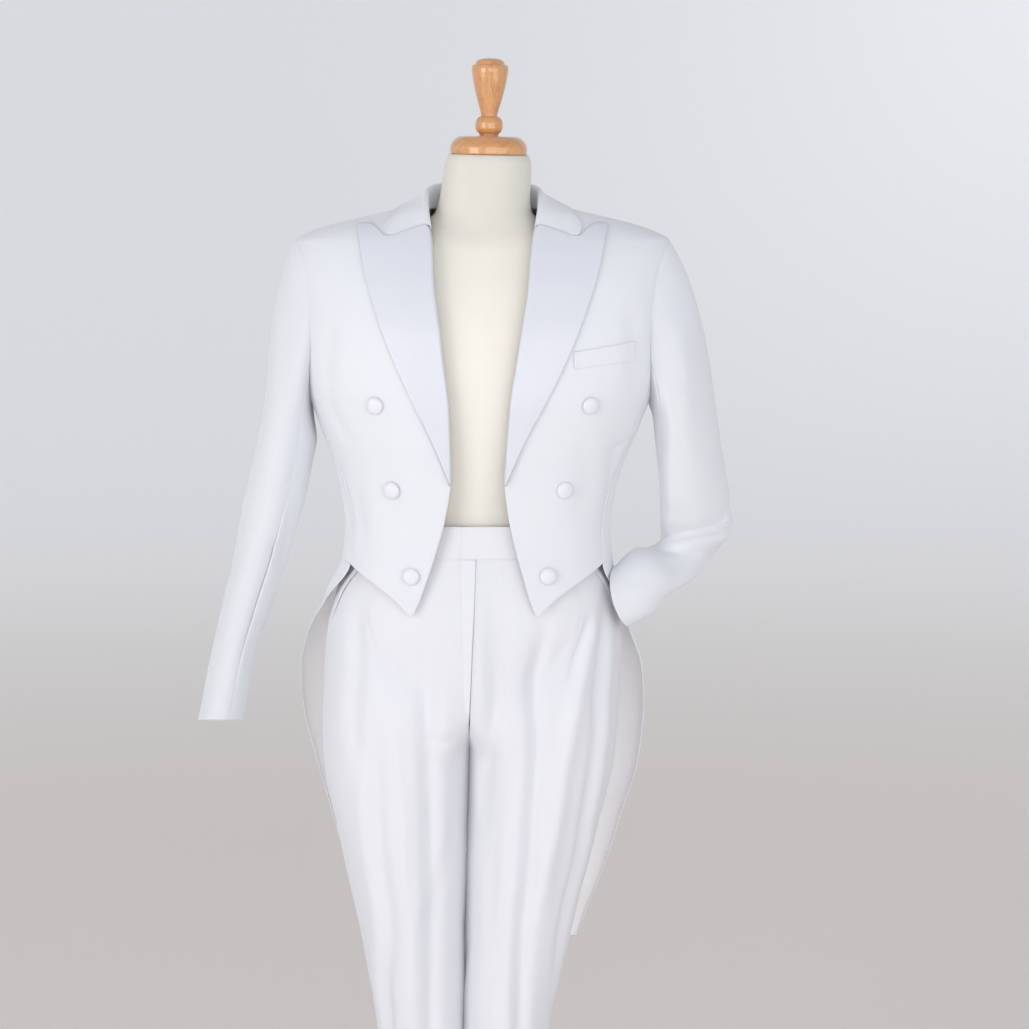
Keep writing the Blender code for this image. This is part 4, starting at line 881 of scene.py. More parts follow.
twill_float = twill_math("SINE", twill_math("MULTIPLY", twill_math(
    "SUBTRACT", twill_math("MULTIPLY", twill_v, 1.9), twill_u), 2 * math.pi))
twill_height = twill_math("ADD", twill_math("MULTIPLY", twill_rib, 0.65),
                          twill_math("MULTIPLY", twill_float, 0.28))
fill(twill, twill_out,
     Height=twill_math("ADD", twill_height, twill_math("MULTIPLY", twill_noise, 0.5)))


def suiting(name, colour, shade, rib, slant, roughness):
    """Fine wool twill: soft tone, slanting ribs and a short nap that catches the light."""
    material, tree, shader, places = finish_material(name, colour, shade, 7.0, 0.35, roughness)
    weave = node(tree, "ShaderNodeGroup", node_tree=twill, Rib=rib, Slant=slant,
                 Vector=places.outputs["UV"])
    add_bump(tree, shader, weave.outputs["Height"], 0.00010, 0.7)
    fill(tree, shader, Sheen_Weight=0.22, Sheen_Roughness=0.45, Specular_IOR_Level=0.30)
    return material


trouser_cloth = suiting("trouser_twill", (0.835, 0.84, 0.88), (0.78, 0.78, 0.84), 0.00075, 1.7,
                        0.82)

# Folds, each with its places (across, height) in millimetres from one end to the other
RIGHT_LEG_FOLDS = (
    ("front", ((-90, 1012), (-95, 920), (-102, 860), (-102, 785), (-97, 687), (-95, 612),
     (-88, 533), (-88, 413), (-86, 40)), 5.4, -14, 0.0),
    ("front", ((-138, 860), (-133, 785), (-133, 687), (-126, 612), (-119, 533), (-124, 455),
     (-118, 250)), -7.0, 11, 0.3),
    ("front", ((-66, 975), (-68, 843), (-65, 635), (-66, 413), (-68, 200)), -6.0, 10, 0.4),
    ("front", ((-157, 985), (-158, 837), (-148, 720)), -4.6, 13, -0.5),
    ("front", ((-42, 900), (-46, 760), (-48, 560)), 3.0, 13, 0.0),
    ("front", ((-34, 690), (-52, 600), (-78, 520)), -2.6, 9, 0.5),
    ("front", ((-30, 800), (-50, 790), (-74, 800)), -2.0, 7, 0.0),
)
LEFT_LEG_FOLDS = (
    ("front", ((40, 1012), (42, 930), (40, 860), (35, 785), (32, 687), (25, 612), (20, 533),
     (14, 455), (20, 40)), 5.2, -12, 0.0),
    ("front", ((18, 1010), (18, 922), (18, 845), (6, 729), (2, 640)), -5.6, 8, 0.6),
    ("front", ((86, 1000), (80, 930), (67, 860), (72, 785), (65, 687), (60, 612), (51, 533),
     (50, 455), (48, 220)), -8.0, 9, 0.3),
    ("front", ((142, 925), (126, 860), (112, 785), (97, 687), (85, 612), (80, 533)), 6.4, 12, 0.0),
    ("front", ((141, 955), (124, 900), (112, 850)), -4.0, 7, -0.5),
    ("front", ((155, 990), (152, 887), (150, 835), (147, 785), (134, 687), (121, 612), (104, 533),
     (88, 420)), -6.4, 9, -0.6),
    ("front", ((20, 660), (16, 520), (12, 380)), -2.8, 10, 0.3),
)
BACK_LEG_FOLDS = (
    ("back", ((-96, 960), (-108, 840), (-112, 700), (-100, 400), (-92, 40)), 3.0, -14, 0.0),
    ("back", ((80, 960), (80, 840), (74, 700), (50, 400), (34, 40)), 3.0, -14, 0.0),
    ("back", ((-40, 900), (-60, 800), (-120, 745)), -3.6, 12, 0.4),
    ("back", ((16, 890), (44, 795), (104, 738)), -3.2, 13, -0.4),
    ("back", ((-30, 800), (-60, 740), (-96, 715)), -2.8, 9, 0.3),
    ("back", ((10, 790), (36, 730), (78, 705)), -2.4, 9, -0.3),
    ("back", ((-150, 880), (-146, 700), (-122, 500)), -2.2, 14, 0.2),
    ("back", ((128, 900), (122, 720), (92, 480)), -2.6, 13, -0.2),
)
SIDE_LEG_FOLDS = (
    ("left", ((40, 930), (36, 760), (30, 560)), -2.0, 12, 0.3),
    ("right", ((36, 910), (32, 740), (26, 500)), -2.0, 13, -0.3),
    ("left", ((-30, 560), (-10, 480), (12, 430)), -1.8, 10, 0.0),
    ("right", ((-34, 520), (-12, 450), (10, 410)), -1.8, 10, 0.0),
)


def trouser_grid(side, face):
    """A panel's points: rows from hem to waistband, columns from side seam to centre."""
    leg_height = WAISTBAND_SEAM - TROUSER_HEM
    levels = TROUSER_HEM + leg_height * spread(leg_height, STEP)
    trial = np.linspace(0.0, 1.0, 400)
    run = lengths(trouser_surface(side, face, trial, 0.80))
    shares = np.interp(spread(run[-1], STEP) * run[-1], run, trial)
    return trouser_surface(side, face, shares[None, :], levels[:, None])


front_folds = {}
for hand, side, leg_folds in (("right", -1.0, RIGHT_LEG_FOLDS), ("left", 1.0, LEFT_LEG_FOLDS)):
    for part, face, folds in (("front", -1.0, leg_folds), ("back", 1.0, BACK_LEG_FOLDS)):
        leg_grid = trouser_grid(side, face)
        folds = fold_lines(leg_grid, (0.0, face, 0.0), folds + SIDE_LEG_FOLDS)
        if face < 0:
            front_folds[side] = folds
        leg = cloth(f"trouser_{part}_{hand}_cloth", leg_grid, (0.0, face, 0.0), trouser_cloth,
                    None, folds, seams=("first", "last", "top"), turned=("bottom",))
        sewn(leg, [f"trouser_{part}_{hand}"])


# ---- Waistband ------------------------------------------------------------------------
# A straight band of the same cloth, stiffened inside and cut in two halves. It joins at
# the middle of the back and closes over the fly with a hidden hook.

FLY_LAP = 0.019
STIFF_WAVE = 0.00025     # waviness of cloth that is stiffened inside


def ring_angle(rings, x, height):
    """The angle at which a ring is x wide of the centre line."""
    share = np.clip(np.asarray(x, float) / at(rings, "half_width", height), 0.0, 1.0)
    return np.degrees(np.arcsin(share ** (at(rings, "power", height) / 2)))


band_height = WAISTBAND_TOP - WAISTBAND_SEAM
band_levels = WAISTBAND_SEAM + band_height * spread(band_height, 0.004)
fly_angle = float(ring_angle(TROUSERS, FLY_LAP, WAISTBAND_TOP))
for hand, side, first in (("right", -1.0, fly_angle), ("left", 1.0, -fly_angle)):
    trial = np.linspace(first, 180.0, 500)
    run = lengths(ring(TROUSERS, trial, WAISTBAND_TOP, side))
    turns = np.interp(spread(run[-1], 0.0035) * run[-1], run, trial)
    band = cloth(f"waistband_{hand}_cloth",
                 ring(TROUSERS, turns[None, :], band_levels[:, None], side),
                 (side, 0.0, 0.0), trouser_cloth, None, seams=("first", "last", "bottom"),
                 turned=("top",), wave=STIFF_WAVE)
    sewn(band, [f"waistband_{hand}"])


# ---- Fly ------------------------------------------------------------------------------
# The wearer's left front laps over the right one and hides the zip. This is the strip of
# the same cloth that shows past the centre, faced inside and held by a J of stitches.

LIFT = 0.0012            # gap under what lies loose on a panel
FLY_POINT = 0.004
FLY_CURVE = 0.6
FLY_END = 0.824
FLY_INSET = 0.0006
STRIP_WALL = 0.0012      # pressed strips that lie sewn on a panel
STRIP_LIFT = 0.0008
NEAR_SHARE = 0.006       # steps to either side of a place that give its normal
NEAR_RISE = 0.004


def trouser_place(side, share, height, lift):
    """Places on a trouser front, moved out by lift."""
    level = np.minimum(share, 0.96)
    front = partial(trouser_surface, side, -1.0)
    across = front(level + NEAR_SHARE, height) - front(level - NEAR_SHARE, height)
    along = front(level, height + NEAR_RISE) - front(level, height - NEAR_RISE)
    return front(share, height) - side * unit(np.cross(across, along)) * lift


def share_at(side, x, height):
    """The share of a trouser front at which it is x wide of the centre line."""
    low, high = np.full(np.shape(x), 0.5), np.full(np.shape(x), 1.0)
    for _ in range(34):
        middle = (low + high) / 2
        wide = np.abs(trouser_surface(side, -1.0, middle, height)[..., 0] - centre_x(height)) > x
        low, high = np.where(wide, middle, low), np.where(wide, high, middle)
    return low


fly_rows = FLY_END + (WAISTBAND_SEAM - SEAM - LIFT / 2 - FLY_END) * spread(
    WAISTBAND_SEAM - FLY_END, 0.004)
fly_lap = FLY_POINT + (FLY_LAP - FLY_POINT) * (
    (fly_rows - FLY_END) / (WAISTBAND_SEAM - FLY_END)) ** FLY_CURVE
fly_x = FLY_INSET + fly_lap[:, None] * spread(FLY_LAP, 0.003)[None, :]
fly_heights = np.broadcast_to(fly_rows[:, None], fly_x.shape)
fly = cloth("fly_lap_cloth", trouser_place(-1.0, share_at(-1.0, fly_x, fly_heights), fly_heights,
                                           STRIP_LIFT),
            FORWARD, trouser_cloth, None, front_folds[-1.0], thickness=STRIP_WALL)
sewn(fly, ["trouser_fly"])


# ---- Pockets --------------------------------------------------------------------------
# Slanted front pockets: a facing of the same cloth along each mouth, bagged out and
# pressed flat, with its ends caught under the waistband and in the side seam.

POCKET = table("across height", [
    (0.030, 0.900),
    (0.288, 1.020),
])
POCKET_SHARE = 0.048     # width of the facing as a share of the front
POCKET_WIDTH = 0.012
POCKET_LENGTH = 0.17
for hand, side in SIDES:
    pocket_rows = POCKET["height"][0] + np.ptp(POCKET["height"]) * spread(POCKET_LENGTH, 0.004)
    pocket_share = np.interp(pocket_rows, POCKET["height"], POCKET["across"])[:, None]
    pocket_share = pocket_share + POCKET_SHARE * spread(POCKET_WIDTH, 0.003)[None, :]
    facing = cloth(f"pocket_facing_{hand}",
                   trouser_place(side, pocket_share, pocket_rows[:, None], STRIP_LIFT),
                   FORWARD, trouser_cloth, None, front_folds[side], thickness=STRIP_WALL)
    sewn(facing, [f"pocket_{hand}"])


# ---- Foreparts ------------------------------------------------------------------------
# The two fronts of the coat, cut from a drier, bluer white twill with canvas behind it.
# Each swells over the chest, closes in at the waist and ends in a point over the hip.

WAIST_SEAM = 1.012
ARMHOLE_TOP = 1.420
ARMHOLE_BOTTOM = 1.215
ARMHOLE_FRONT = 0.064
ARMHOLE_BACK = 0.068
ARMHOLE_STEPS = 18
FRONT_JOIN = 7
BACK_JOIN = 13
SIDE_SEAM_ANGLE = 66.0
BACK_SEAM_ANGLE = 159.0
ROLL_END = 1.120
SHOULDER_TOP = 1.463
ROLL_START = 0.0022      # reach of the lapel's roll at its lower end, its gain, and the rise
ROLL_GAIN = 0.00145
ROLL_RISE = 0.12
FRONT_INSET = 0.0007     # room between the roll and the forepart's edge inside it
CORNER = 0.92            # cosine of the turn at which an edge counts as having a corner
NECK_POINT = 1.450       # where the row of points from the armhole's top ends
COAT_STEP = 0.0036       # usual distance between the points of a coat panel
COAT_WAVE = 0.00038      # the coat's canvas keeps it smoother than the trousers
COAT = table("height half_width front back side_y power", [
    (0.930, 0.184, 0.122, 0.126, 0.000, 2.40),
    (WAIST_SEAM, 0.1745, 0.119, 0.120, 0.000, 2.40),
    (1.060, 0.1705, 0.118, 0.114, 0.000, 2.40),
    (1.120, 0.181, 0.122, 0.117, 0.000, 2.40),
    (1.180, 0.203, 0.129, 0.125, 0.002, 2.40),
    (1.230, 0.220, 0.133, 0.132, 0.004, 2.40),
    (1.300, 0.232, 0.127, 0.137, 0.006, 2.40),
    (1.360, 0.240, 0.107, 0.128, 0.008, 2.40),
    (1.400, 0.2425, 0.084, 0.114, 0.010, 2.35),
    (1.420, 0.2390, 0.069, 0.105, 0.012, 2.30),
    (1.431, 0.218, 0.060, 0.099, 0.013, 2.25),
    (1.441, 0.186, 0.052, 0.094, 0.014, 2.20),
    (1.452, 0.141, 0.043, 0.088, 0.016, 2.20),
    (SHOULDER_TOP, 0.096, 0.033, 0.083, 0.017, 2.20),
])
FRONT_EDGE = table("height x", [
    (0.951, 0.0805),
    (0.960, 0.0745),
    (1.000, 0.0605),
    (1.035, 0.0500),
    (1.070, 0.0410),
    (1.100, 0.0360),
    (ROLL_END, 0.0335),
    (1.170, 0.0352),
    (1.220, 0.0378),
    (1.270, 0.0447),
    (1.317, 0.0510),
    (1.367, 0.0585),
    (1.400, 0.0610),
    (1.434, 0.0650),
    (1.442, 0.0715),
    (1.452, 0.0785),
    (SHOULDER_TOP, 0.0800),
])
HEM = table("across height", [
    (0.00, 0.951),
    (0.18, 0.971),
    (0.45, 0.989),
    (0.75, 1.003),
    (1.00, WAIST_SEAM),
])


def coat_surface(side, angle, height):
    """Outside of the coat above its waist, by the angles of its rings."""
    return ring(COAT, angle, height, side)


def armhole(step):
    """Angles and heights round the armhole, from its top forward."""
    turn = 2 * math.pi * np.asarray(step, float) / ARMHOLE_STEPS
    height = (ARMHOLE_TOP + ARMHOLE_BOTTOM) / 2
    height = height + (ARMHOLE_TOP - ARMHOLE_BOTTOM) / 2 * np.cos(turn)
    side_y, power = at(COAT, "side_y", height), at(COAT, "power", height)
    forward = np.sin(turn) >= 0
    reach = np.abs(np.sin(turn)) * np.where(forward, ARMHOLE_FRONT, ARMHOLE_BACK)
    depth = np.where(forward, at(COAT, "front", height) + side_y, at(COAT, "back", height) - side_y)
    angle = np.degrees(np.arccos(np.minimum((reach / depth) ** (power / 2), 1.0)))
    return np.stack([np.where(forward, angle, 180.0 - angle), height], axis=-1)


def patch(surface, bottom, top, first, last, size, step, facing=None):
    """A grid of places on a surface inside four edges, which are lines of its two
    coordinates: bottom and top run from first to last, and those two run upwards. facing
    gives a row's share of the way up, and its heights on the first and on the last edge."""
    across, up = spread(size[0], step), spread(size[1], step)
    if facing is not None:
        up[np.abs(up - facing[0]).argmin()] = facing[0]
    lines = []
    for edge, shares in ((bottom, across), (top, across), (first, up), (last, up)):
        line = surface(edge[:, 0], edge[:, 1])
        run, ways = lengths(line), unit(np.diff(line, axis=0))
        places = shares * run[-1]
        if facing is not None and shares is up:
            knee = np.interp(facing[1] if edge is first else facing[2], edge[:, 1], run)
            places = np.interp(up, (0.0, facing[0], 1.0), (0.0, knee, run[-1]))
        for corner in run[1:-1][(ways[1:] * ways[:-1]).sum(axis=-1) < CORNER]:
            places[np.abs(places - corner).argmin()] = corner
        lines.append(np.stack([np.interp(places, run, edge[:, k]) for k in (0, 1)], axis=-1))
    low, high, left, right = lines
    u, v = across[None, :, None], up[:, None, None]
    grid = (1 - v) * low[None] + v * high[None] + (1 - u) * left[:, None] + u * right[:, None]
    grid -= ((1 - u) * (1 - v) * low[0] + u * (1 - v) * low[-1]
             + (1 - u) * v * high[0] + u * v * high[-1])
    return surface(grid[..., 0], grid[..., 1])


def pairs(angles, heights):
    angles, heights = np.broadcast_arrays(angles, heights)
    return np.stack([angles, heights], axis=-1).astype(float)


def roll_reach(height):
    """How far the lapel's roll stands out in front of the forepart's edge."""
    return ROLL_START + ROLL_GAIN * np.clip((height - ROLL_END) / ROLL_RISE, 0.0, 1.0)


def join_seam(step, angle, bend):
    """A seam from the waist up to one point of the armhole, bent towards it."""
    share = np.linspace(0.0, 1.0, 60)
    last = armhole(step)
    return pairs(angle + (last[0] - angle) * share ** bend,
                 WAIST_SEAM + (last[1] - WAIST_SEAM) * share)


front_join = join_seam(FRONT_JOIN, SIDE_SEAM_ANGLE, 1.0)
shoulder_line = pairs(90.0, np.linspace(ARMHOLE_TOP, SHOULDER_TOP, 60))
coat_cloth = suiting("coat_twill", (0.845, 0.865, 0.905), (0.79, 0.81, 0.86), 0.0007, -1.5, 0.86)
# Partly painted light: the lining is a near white, lighter than the coat's twill, so that the
# shaded insides of the tails come out light, and its slight pink is the warm tone of that shade.
lining, lining_tree, lining_shader, _ = finish_material(
    "coat_lining", (0.96, 0.925, 0.93), (0.92, 0.87, 0.88), 9.0, 0.5, 0.42)
fill(lining_tree, lining_shader, Subsurface_Weight=1.0, Subsurface_Radius=(1.0, 0.9, 0.9),
     Subsurface_Scale=0.015)

COAT_FOLDS = (
    ("front", ((-186, 1145), (-174, 1092), (-166, 1041)), -2.2, 8, 0.4),
    ("front", ((-160, 1120), (-152, 1070), (-146, 1020)), -1.2, 10, -0.3),
    ("front", ((-196, 1235), (-176, 1190), (-150, 1165)), -1.4, 9, 0.3),
    ("front", ((-186, 1330), (-192, 1270), (-188, 1215)), -1.6, 12, -0.3),
    ("front", ((172, 1190), (166, 1095), (162, 1018)), -2.0, 12, -0.4),
    ("front", ((196, 1160), (186, 1168), (166, 1158)), -1.6, 7, 0.3),
    ("front", ((184, 1345), (192, 1285), (190, 1225)), -1.6, 12, 0.3),
    ("front", ((120, 1180), (132, 1120), (128, 1060)), -1.0, 13, 0.0),
    ("front", ((-100, 1180), (-116, 1110), (-112, 1050)), -0.9, 13, 0.0),
    ("back", ((-30, 1200), (-60, 1120), (-50, 1050)), -2.0, 13, 0.3),
    ("back", ((34, 1210), (64, 1120), (52, 1040)), -2.0, 13, -0.3),
    ("back", ((-160, 1230), (-120, 1180), (-70, 1160)), -2.0, 12, 0.0),
    ("back", ((160, 1225), (120, 1170), (74, 1150)), -2.0, 12, 0.0),
    ("back", ((-110, 1075), (-60, 1066), (-16, 1070)), -1.8, 8, 0.0),
    ("back", ((16, 1070), (64, 1064), (116, 1074)), -1.8, 8, 0.0),
    ("left", ((10, 1160), (16, 1100), (8, 1040)), -1.6, 12, 0.0),
    ("right", ((12, 1160), (18, 1100), (8, 1040)), -1.6, 12, 0.0),
    ("back", ((-60, 930), (-70, 760), (-66, 520)), 3.4, 17, 0.0),
    ("back", ((-116, 900), (-136, 740), (-112, 540)), -3.0, 15, 0.2),
    ("back", ((52, 940), (62, 760), (58, 520)), 3.0, 16, 0.0),
    ("back", ((110, 900), (134, 730), (112, 540)), -3.2, 15, -0.2),
)
DENSE = np.linspace(0.0, 1.0, 120)
FOREPART_SIZE = (0.20, 0.56)
FOREPART_ROW = 0.71      # share of the way up at which the armhole's top lies


def coat_panel(part, hand, grid, outward, seams, turned, folds=COAT_FOLDS,
               wave=COAT_WAVE):
    """A lined panel of the coat, sewn to the panel or laid on the form under it."""
    folds = fold_lines(grid, outward, folds)
    panel = cloth(f"{part}_{hand}_cloth", grid, outward, coat_cloth, lining, folds, seams, turned,
                  wave=wave)
    sewn(panel, [f"{part}_{hand}"])
    return folds


forepart_folds = {}
for hand, side in SIDES:
    edge_heights = np.linspace(FRONT_EDGE["height"][0], SHOULDER_TOP, 400)
    inset = roll_reach(edge_heights) + FRONT_INSET
    inset *= smooth_step((edge_heights - ROLL_END) / 0.010)
    edge_x = at(FRONT_EDGE, "x", edge_heights) + inset
    front_line = pairs(ring_angle(COAT, edge_x, edge_heights), edge_heights)
    hem_line = pairs(front_line[0, 0] + (SIDE_SEAM_ANGLE - front_line[0, 0]) * DENSE,
                     at(HEM, "height", DENSE, "across"))
    side_line = np.concatenate([
        front_join[:-1], armhole(np.linspace(FRONT_JOIN, 0.0, 90))[:-1], shoulder_line])
    top_line = pairs(np.linspace(front_line[-1, 0], 90.0, 30), SHOULDER_TOP)
    coat_grid = patch(partial(coat_surface, side), hem_line, top_line, front_line, side_line,
                      FOREPART_SIZE, COAT_STEP, (FOREPART_ROW, NECK_POINT, ARMHOLE_TOP))
    forepart_folds[side] = coat_panel("forepart", hand, coat_grid, FORWARD, ("last",),
                                      ("first", "bottom"))


# ---- Side bodies ----------------------------------------------------------------------
# A narrow panel under each arm, between the forepart and the back, that takes the coat in
# at the waist and carries the lower part of the armhole.

SIDE_BODY_SIZE = (0.23, 0.25)
back_join = join_seam(BACK_JOIN, BACK_SEAM_ANGLE, 2.2)
waist_line = pairs(np.linspace(SIDE_SEAM_ANGLE, BACK_SEAM_ANGLE, 90), WAIST_SEAM)
for hand, side in SIDES:
    coat_grid = patch(partial(coat_surface, side), waist_line,
                      armhole(np.linspace(FRONT_JOIN, BACK_JOIN, 90)), front_join, back_join,
                      SIDE_BODY_SIZE, COAT_STEP)
    coat_panel("side_body", hand, coat_grid, (side, 0.0, 0.0),
               ("first", "last", "bottom", "top"), ())


# ---- Backs ----------------------------------------------------------------------------
# Each half of the back is cut in one with its tail, from the shoulder down to the knee.
# The halves are joined down the middle to the waist and hang apart below it.

TAIL_BOTTOM = 0.470
TAIL_SEAM = 0.60
TAIL_SEAM_DROP = 0.15
TAIL_BLEND = 0.085
TAIL_STEP = 0.0044       # usual distance between the points of a tail
BACK_SIZE = (0.20, 1.08)
BACK_ROW = 0.86
VENT = 0.0020
TAIL_FLARE = {"right": 0.16, "left": 0.08}
FLARE_DROP = 0.062
TAILS = table("height right_edge right_y left_edge left_y back power", [
    (TAIL_BOTTOM, 0.134, 0.138, 0.150, 0.138, 0.160, 2.00),
    (0.510, 0.145, 0.134, 0.162, 0.134, 0.160, 2.00),
    (0.574, 0.163, 0.126, 0.185, 0.126, 0.160, 2.05),
    (0.650, 0.184, 0.113, 0.206, 0.113, 0.160, 2.10),
    (0.726, 0.205, 0.092, 0.224, 0.094, 0.160, 2.15),
    (0.800, 0.222, 0.070, 0.229, 0.077, 0.159, 2.20),
    (0.860, 0.2255, 0.050, 0.222, 0.064, 0.156, 2.25),
    (0.913, 0.216, 0.028, 0.202, 0.055, 0.148, 2.30),
    (0.963, 0.193, -0.006, 0.1885, 0.036, 0.136, 2.35),
    (WAIST_SEAM, 0.1745, -0.040, 0.1745, -0.020, 0.120, 2.40),
])


def tail_surface(side, angle, height):
    """Outside of the back and the tails, by the coat's angles."""
    angle, height = np.broadcast_arrays(np.asarray(angle, float), np.asarray(height, float))
    hand = "left" if side > 0 else "right"
    power = at(TAILS, "power", height)
    turn = math.pi / 2 * (180.0 - angle) / (180.0 - SIDE_SEAM_ANGLE)
    out = at(TAILS, f"{hand}_edge", height) * np.abs(np.sin(turn)) ** (2 / power)
    edge_y = at(TAILS, f"{hand}_y", height)
    y = edge_y + (at(TAILS, "back", height) - edge_y) * np.abs(np.cos(turn)) ** (2 / power)
    hanging = np.stack([np.maximum(out, VENT), y, height], axis=-1)
    fitted = ring(COAT, angle, height, 1.0)
    flare = 1 + TAIL_FLARE[hand] * smooth_step((WAIST_SEAM - height) / FLARE_DROP)
    fitted[..., 0] = np.maximum((fitted[..., 0] - centre_x(height)) * flare, SEAM / 2)
    blend = smooth_step((WAIST_SEAM - height) / TAIL_BLEND)[..., None]
    place = fitted + (hanging - fitted) * blend
    place[..., 0] = centre_x(height) + side * place[..., 0]
    return place


def tail_seam(heights):
    """Angles of the seam between the skirt and the tail."""
    fall = smooth_step((WAIST_SEAM - heights) / TAIL_SEAM_DROP)
    low = SIDE_SEAM_ANGLE + (180.0 - SIDE_SEAM_ANGLE) * TAIL_SEAM
    return pairs(BACK_SEAM_ANGLE + (low - BACK_SEAM_ANGLE) * fall, heights)


tail_heights = np.linspace(TAIL_BOTTOM, WAIST_SEAM, 160)
for hand, side in SIDES:
    seam_line = np.concatenate([
        tail_seam(tail_heights)[:-1], back_join[:-1],
        armhole(np.linspace(BACK_JOIN, ARMHOLE_STEPS - 0.001, 80))[:-1], shoulder_line])
    coat_grid = patch(partial(tail_surface, side),
                      pairs(np.linspace(seam_line[0, 0], 180.0, 60), TAIL_BOTTOM),
                      pairs(np.linspace(90.0, 180.0, 60), SHOULDER_TOP), seam_line,
                      pairs(180.0, np.linspace(TAIL_BOTTOM, SHOULDER_TOP, 300)),
                      BACK_SIZE, TAIL_STEP, (BACK_ROW, ARMHOLE_TOP, NECK_POINT))
    coat_panel("back", hand, coat_grid, (0.0, 1.0, 0.0), ("first", "last"), ("bottom",))


# ---- Skirts ---------------------------------------------------------------------------
# The front half of each tail, sewn to the waist seam and to the back, with its free edge
# cut away in a long curve behind the hip.

SKIRT_SIZE = (0.22, 0.56)
for hand, side in SIDES:
    coat_grid = patch(partial(tail_surface, side),
                      pairs(np.linspace(SIDE_SEAM_ANGLE, tail_seam(tail_heights)[0, 0], 60),
                            TAIL_BOTTOM), waist_line,
                      pairs(SIDE_SEAM_ANGLE, tail_heights), tail_seam(tail_heights),
                      SKIRT_SIZE, TAIL_STEP)
    coat_panel("skirt", hand, coat_grid, (side * 0.7, 0.7, 0.0), ("last", "top"),
               ("first", "bottom"))


# ---- Sleeves --------------------------------------------------------------------------
# Two-piece sleeves, a top and an under sleeve joined along the front and hind seams and
# eased into the armhole. The wearer's left arm is bent, with its hand in the pocket.

SLEEVE_COLUMNS = "x y height across along turn dip"
RIGHT_SLEEVE = table(SLEEVE_COLUMNS, [
    (0.2510, 0.007, 1.155, 0.0385, 0.066, 0.0, 0.0),
    (0.2665, 0.011, 1.085, 0.0395, 0.064, 0.0, 1.0),
    (0.2835, 0.011, 1.020, 0.0355, 0.061, 0.0, 3.0),
    (0.3015, 0.004, 0.955, 0.0330, 0.058, 0.0, 7.0),
    (0.3215, -0.009, 0.880, 0.0290, 0.055, 0.0, 10.0),
    (0.3370, -0.025, 0.802, 0.0290, 0.052, 0.0, 12.0),
])
LEFT_SLEEVE = table(SLEEVE_COLUMNS, [
    (0.2664, 0.016, 1.1664, 0.0390, 0.0657, 20.0, 0.0),
    (0.2781, 0.034, 1.0775, 0.0380, 0.0615, 34.0, -4.0),
    (0.2809, 0.050, 1.0344, 0.0380, 0.0558, 45.0, -4.0),
    (0.2590, 0.042, 1.0130, 0.0360, 0.0480, 50.0, 10.0),
    (0.2405, 0.0205, 1.0010, 0.0365, 0.0436, 62.0, 32.0),
    (0.2208, -0.004, 0.9934, 0.0395, 0.0373, 76.0, 53.0),
    (0.2002, -0.020, 0.9762, 0.0400, 0.0410, 92.0, 65.0),
    (0.1805, -0.030, 0.9640, 0.0395, 0.0385, 108.0, 73.0),
])
FRONT_COLUMN = 6
HIND_COLUMN = 13
HEAD_FALL = 0.8
HEAD_FLARE = 0.10
ALLOWANCE = 0.005
SLEEVE_LENGTH = 0.66
LEFT_STEP = 0.0029       # its rows are closer, as it is bent at the elbow
HEADS = {"right": (0.22, 0.30), "left": (0.27, 0.37)}   # how far out each head leaves the coat
PART_WIDTHS = {"top": 0.24, "under": 0.14}
NEAR_TURN = 0.5          # steps to either side of a place that give its normal
NEAR_LEVEL = 0.0015
RIGHT_FOLDS = (
    ("front", ((-214, 1270), (-226, 1217), (-242, 1088), (-270, 932), (-291, 828)), -2.4, 15, 0.3),
    ("front", ((-252, 1345), (-262, 1230), (-276, 1100)), 1.4, 16, 0.0),
    ("front", ((-238, 1118), (-256, 1104), (-270, 1112)), -0.9, 8, 0.0),
    ("front", ((-252, 1036), (-270, 1024), (-286, 1030)), -0.8, 9, 0.2),
    ("front", ((-292, 960), (-310, 900), (-326, 840)), 1.2, 12, 0.0),
    ("right", ((-20, 1300), (10, 1200), (16, 1080)), -1.6, 14, 0.2),
    ("right", ((50, 1110), (20, 1070), (-20, 1060)), -1.5, 9, 0.0),
    ("right", ((40, 1020), (10, 990), (-30, 990)), -1.3, 9, 0.0),
    ("back", ((-230, 1250), (-248, 1150), (-270, 1060)), -1.8, 13, 0.0),
    ("back", ((-296, 1100), (-270, 1060), (-250, 1060)), -1.5, 8, 0.0),
)
LEFT_FOLDS = (
    ("front", ((214, 1350), (216, 1300), (213, 1235)), 1.2, 9, 0.0),
    ("front", ((250, 1340), (256, 1256), (254, 1115)), 1.6, 17, 0.0),
    ("front", ((226, 1300), (232, 1220), (230, 1130)), -1.8, 12, -0.3),
    ("front", ((240, 1262), (254, 1250), (272, 1224)), -1.2, 6, 0.0),
    ("front", ((224, 1031), (236, 1035), (267, 1042), (301, 1048), (322, 1053)), 5.0, 3.5, 2.0),
    ("front", ((222, 1080), (250, 1068), (284, 1074)), -1.4, 10, 0.0),
    ("front", ((232, 978), (262, 1002), (296, 1030)), -1.2, 8, -0.3),
    ("front", ((190, 982), (214, 990), (250, 1010)), -1.2, 9, 0.0),
    ("left", ((60, 1300), (50, 1220), (52, 1130)), -1.8, 14, 0.0),
    ("left", ((90, 1070), (60, 1072), (10, 1060)), -1.8, 9, 0.0),
    ("left", ((90, 1034), (60, 1030), (30, 1012)), -1.6, 9, 0.3),
    ("back", ((236, 1260), (252, 1160), (276, 1090)), -1.8, 13, 0.0),
    ("back", ((240, 1090), (270, 1070), (306, 1062)), -2.0, 9, 0.0),
)


def coat_normals(side, angle, height):
    """Normals of the coat's outside."""
    across = coat_surface(side, angle + NEAR_TURN, height)
    across -= coat_surface(side, angle - NEAR_TURN, height)
    along = coat_surface(side, angle, height + NEAR_LEVEL)
    along -= coat_surface(side, angle, height - NEAR_LEVEL)
    return side * unit(np.cross(across, along))


def armhole_middle(side):
    return coat_surface(side, *armhole(np.arange(ARMHOLE_STEPS)).T).mean(axis=0)


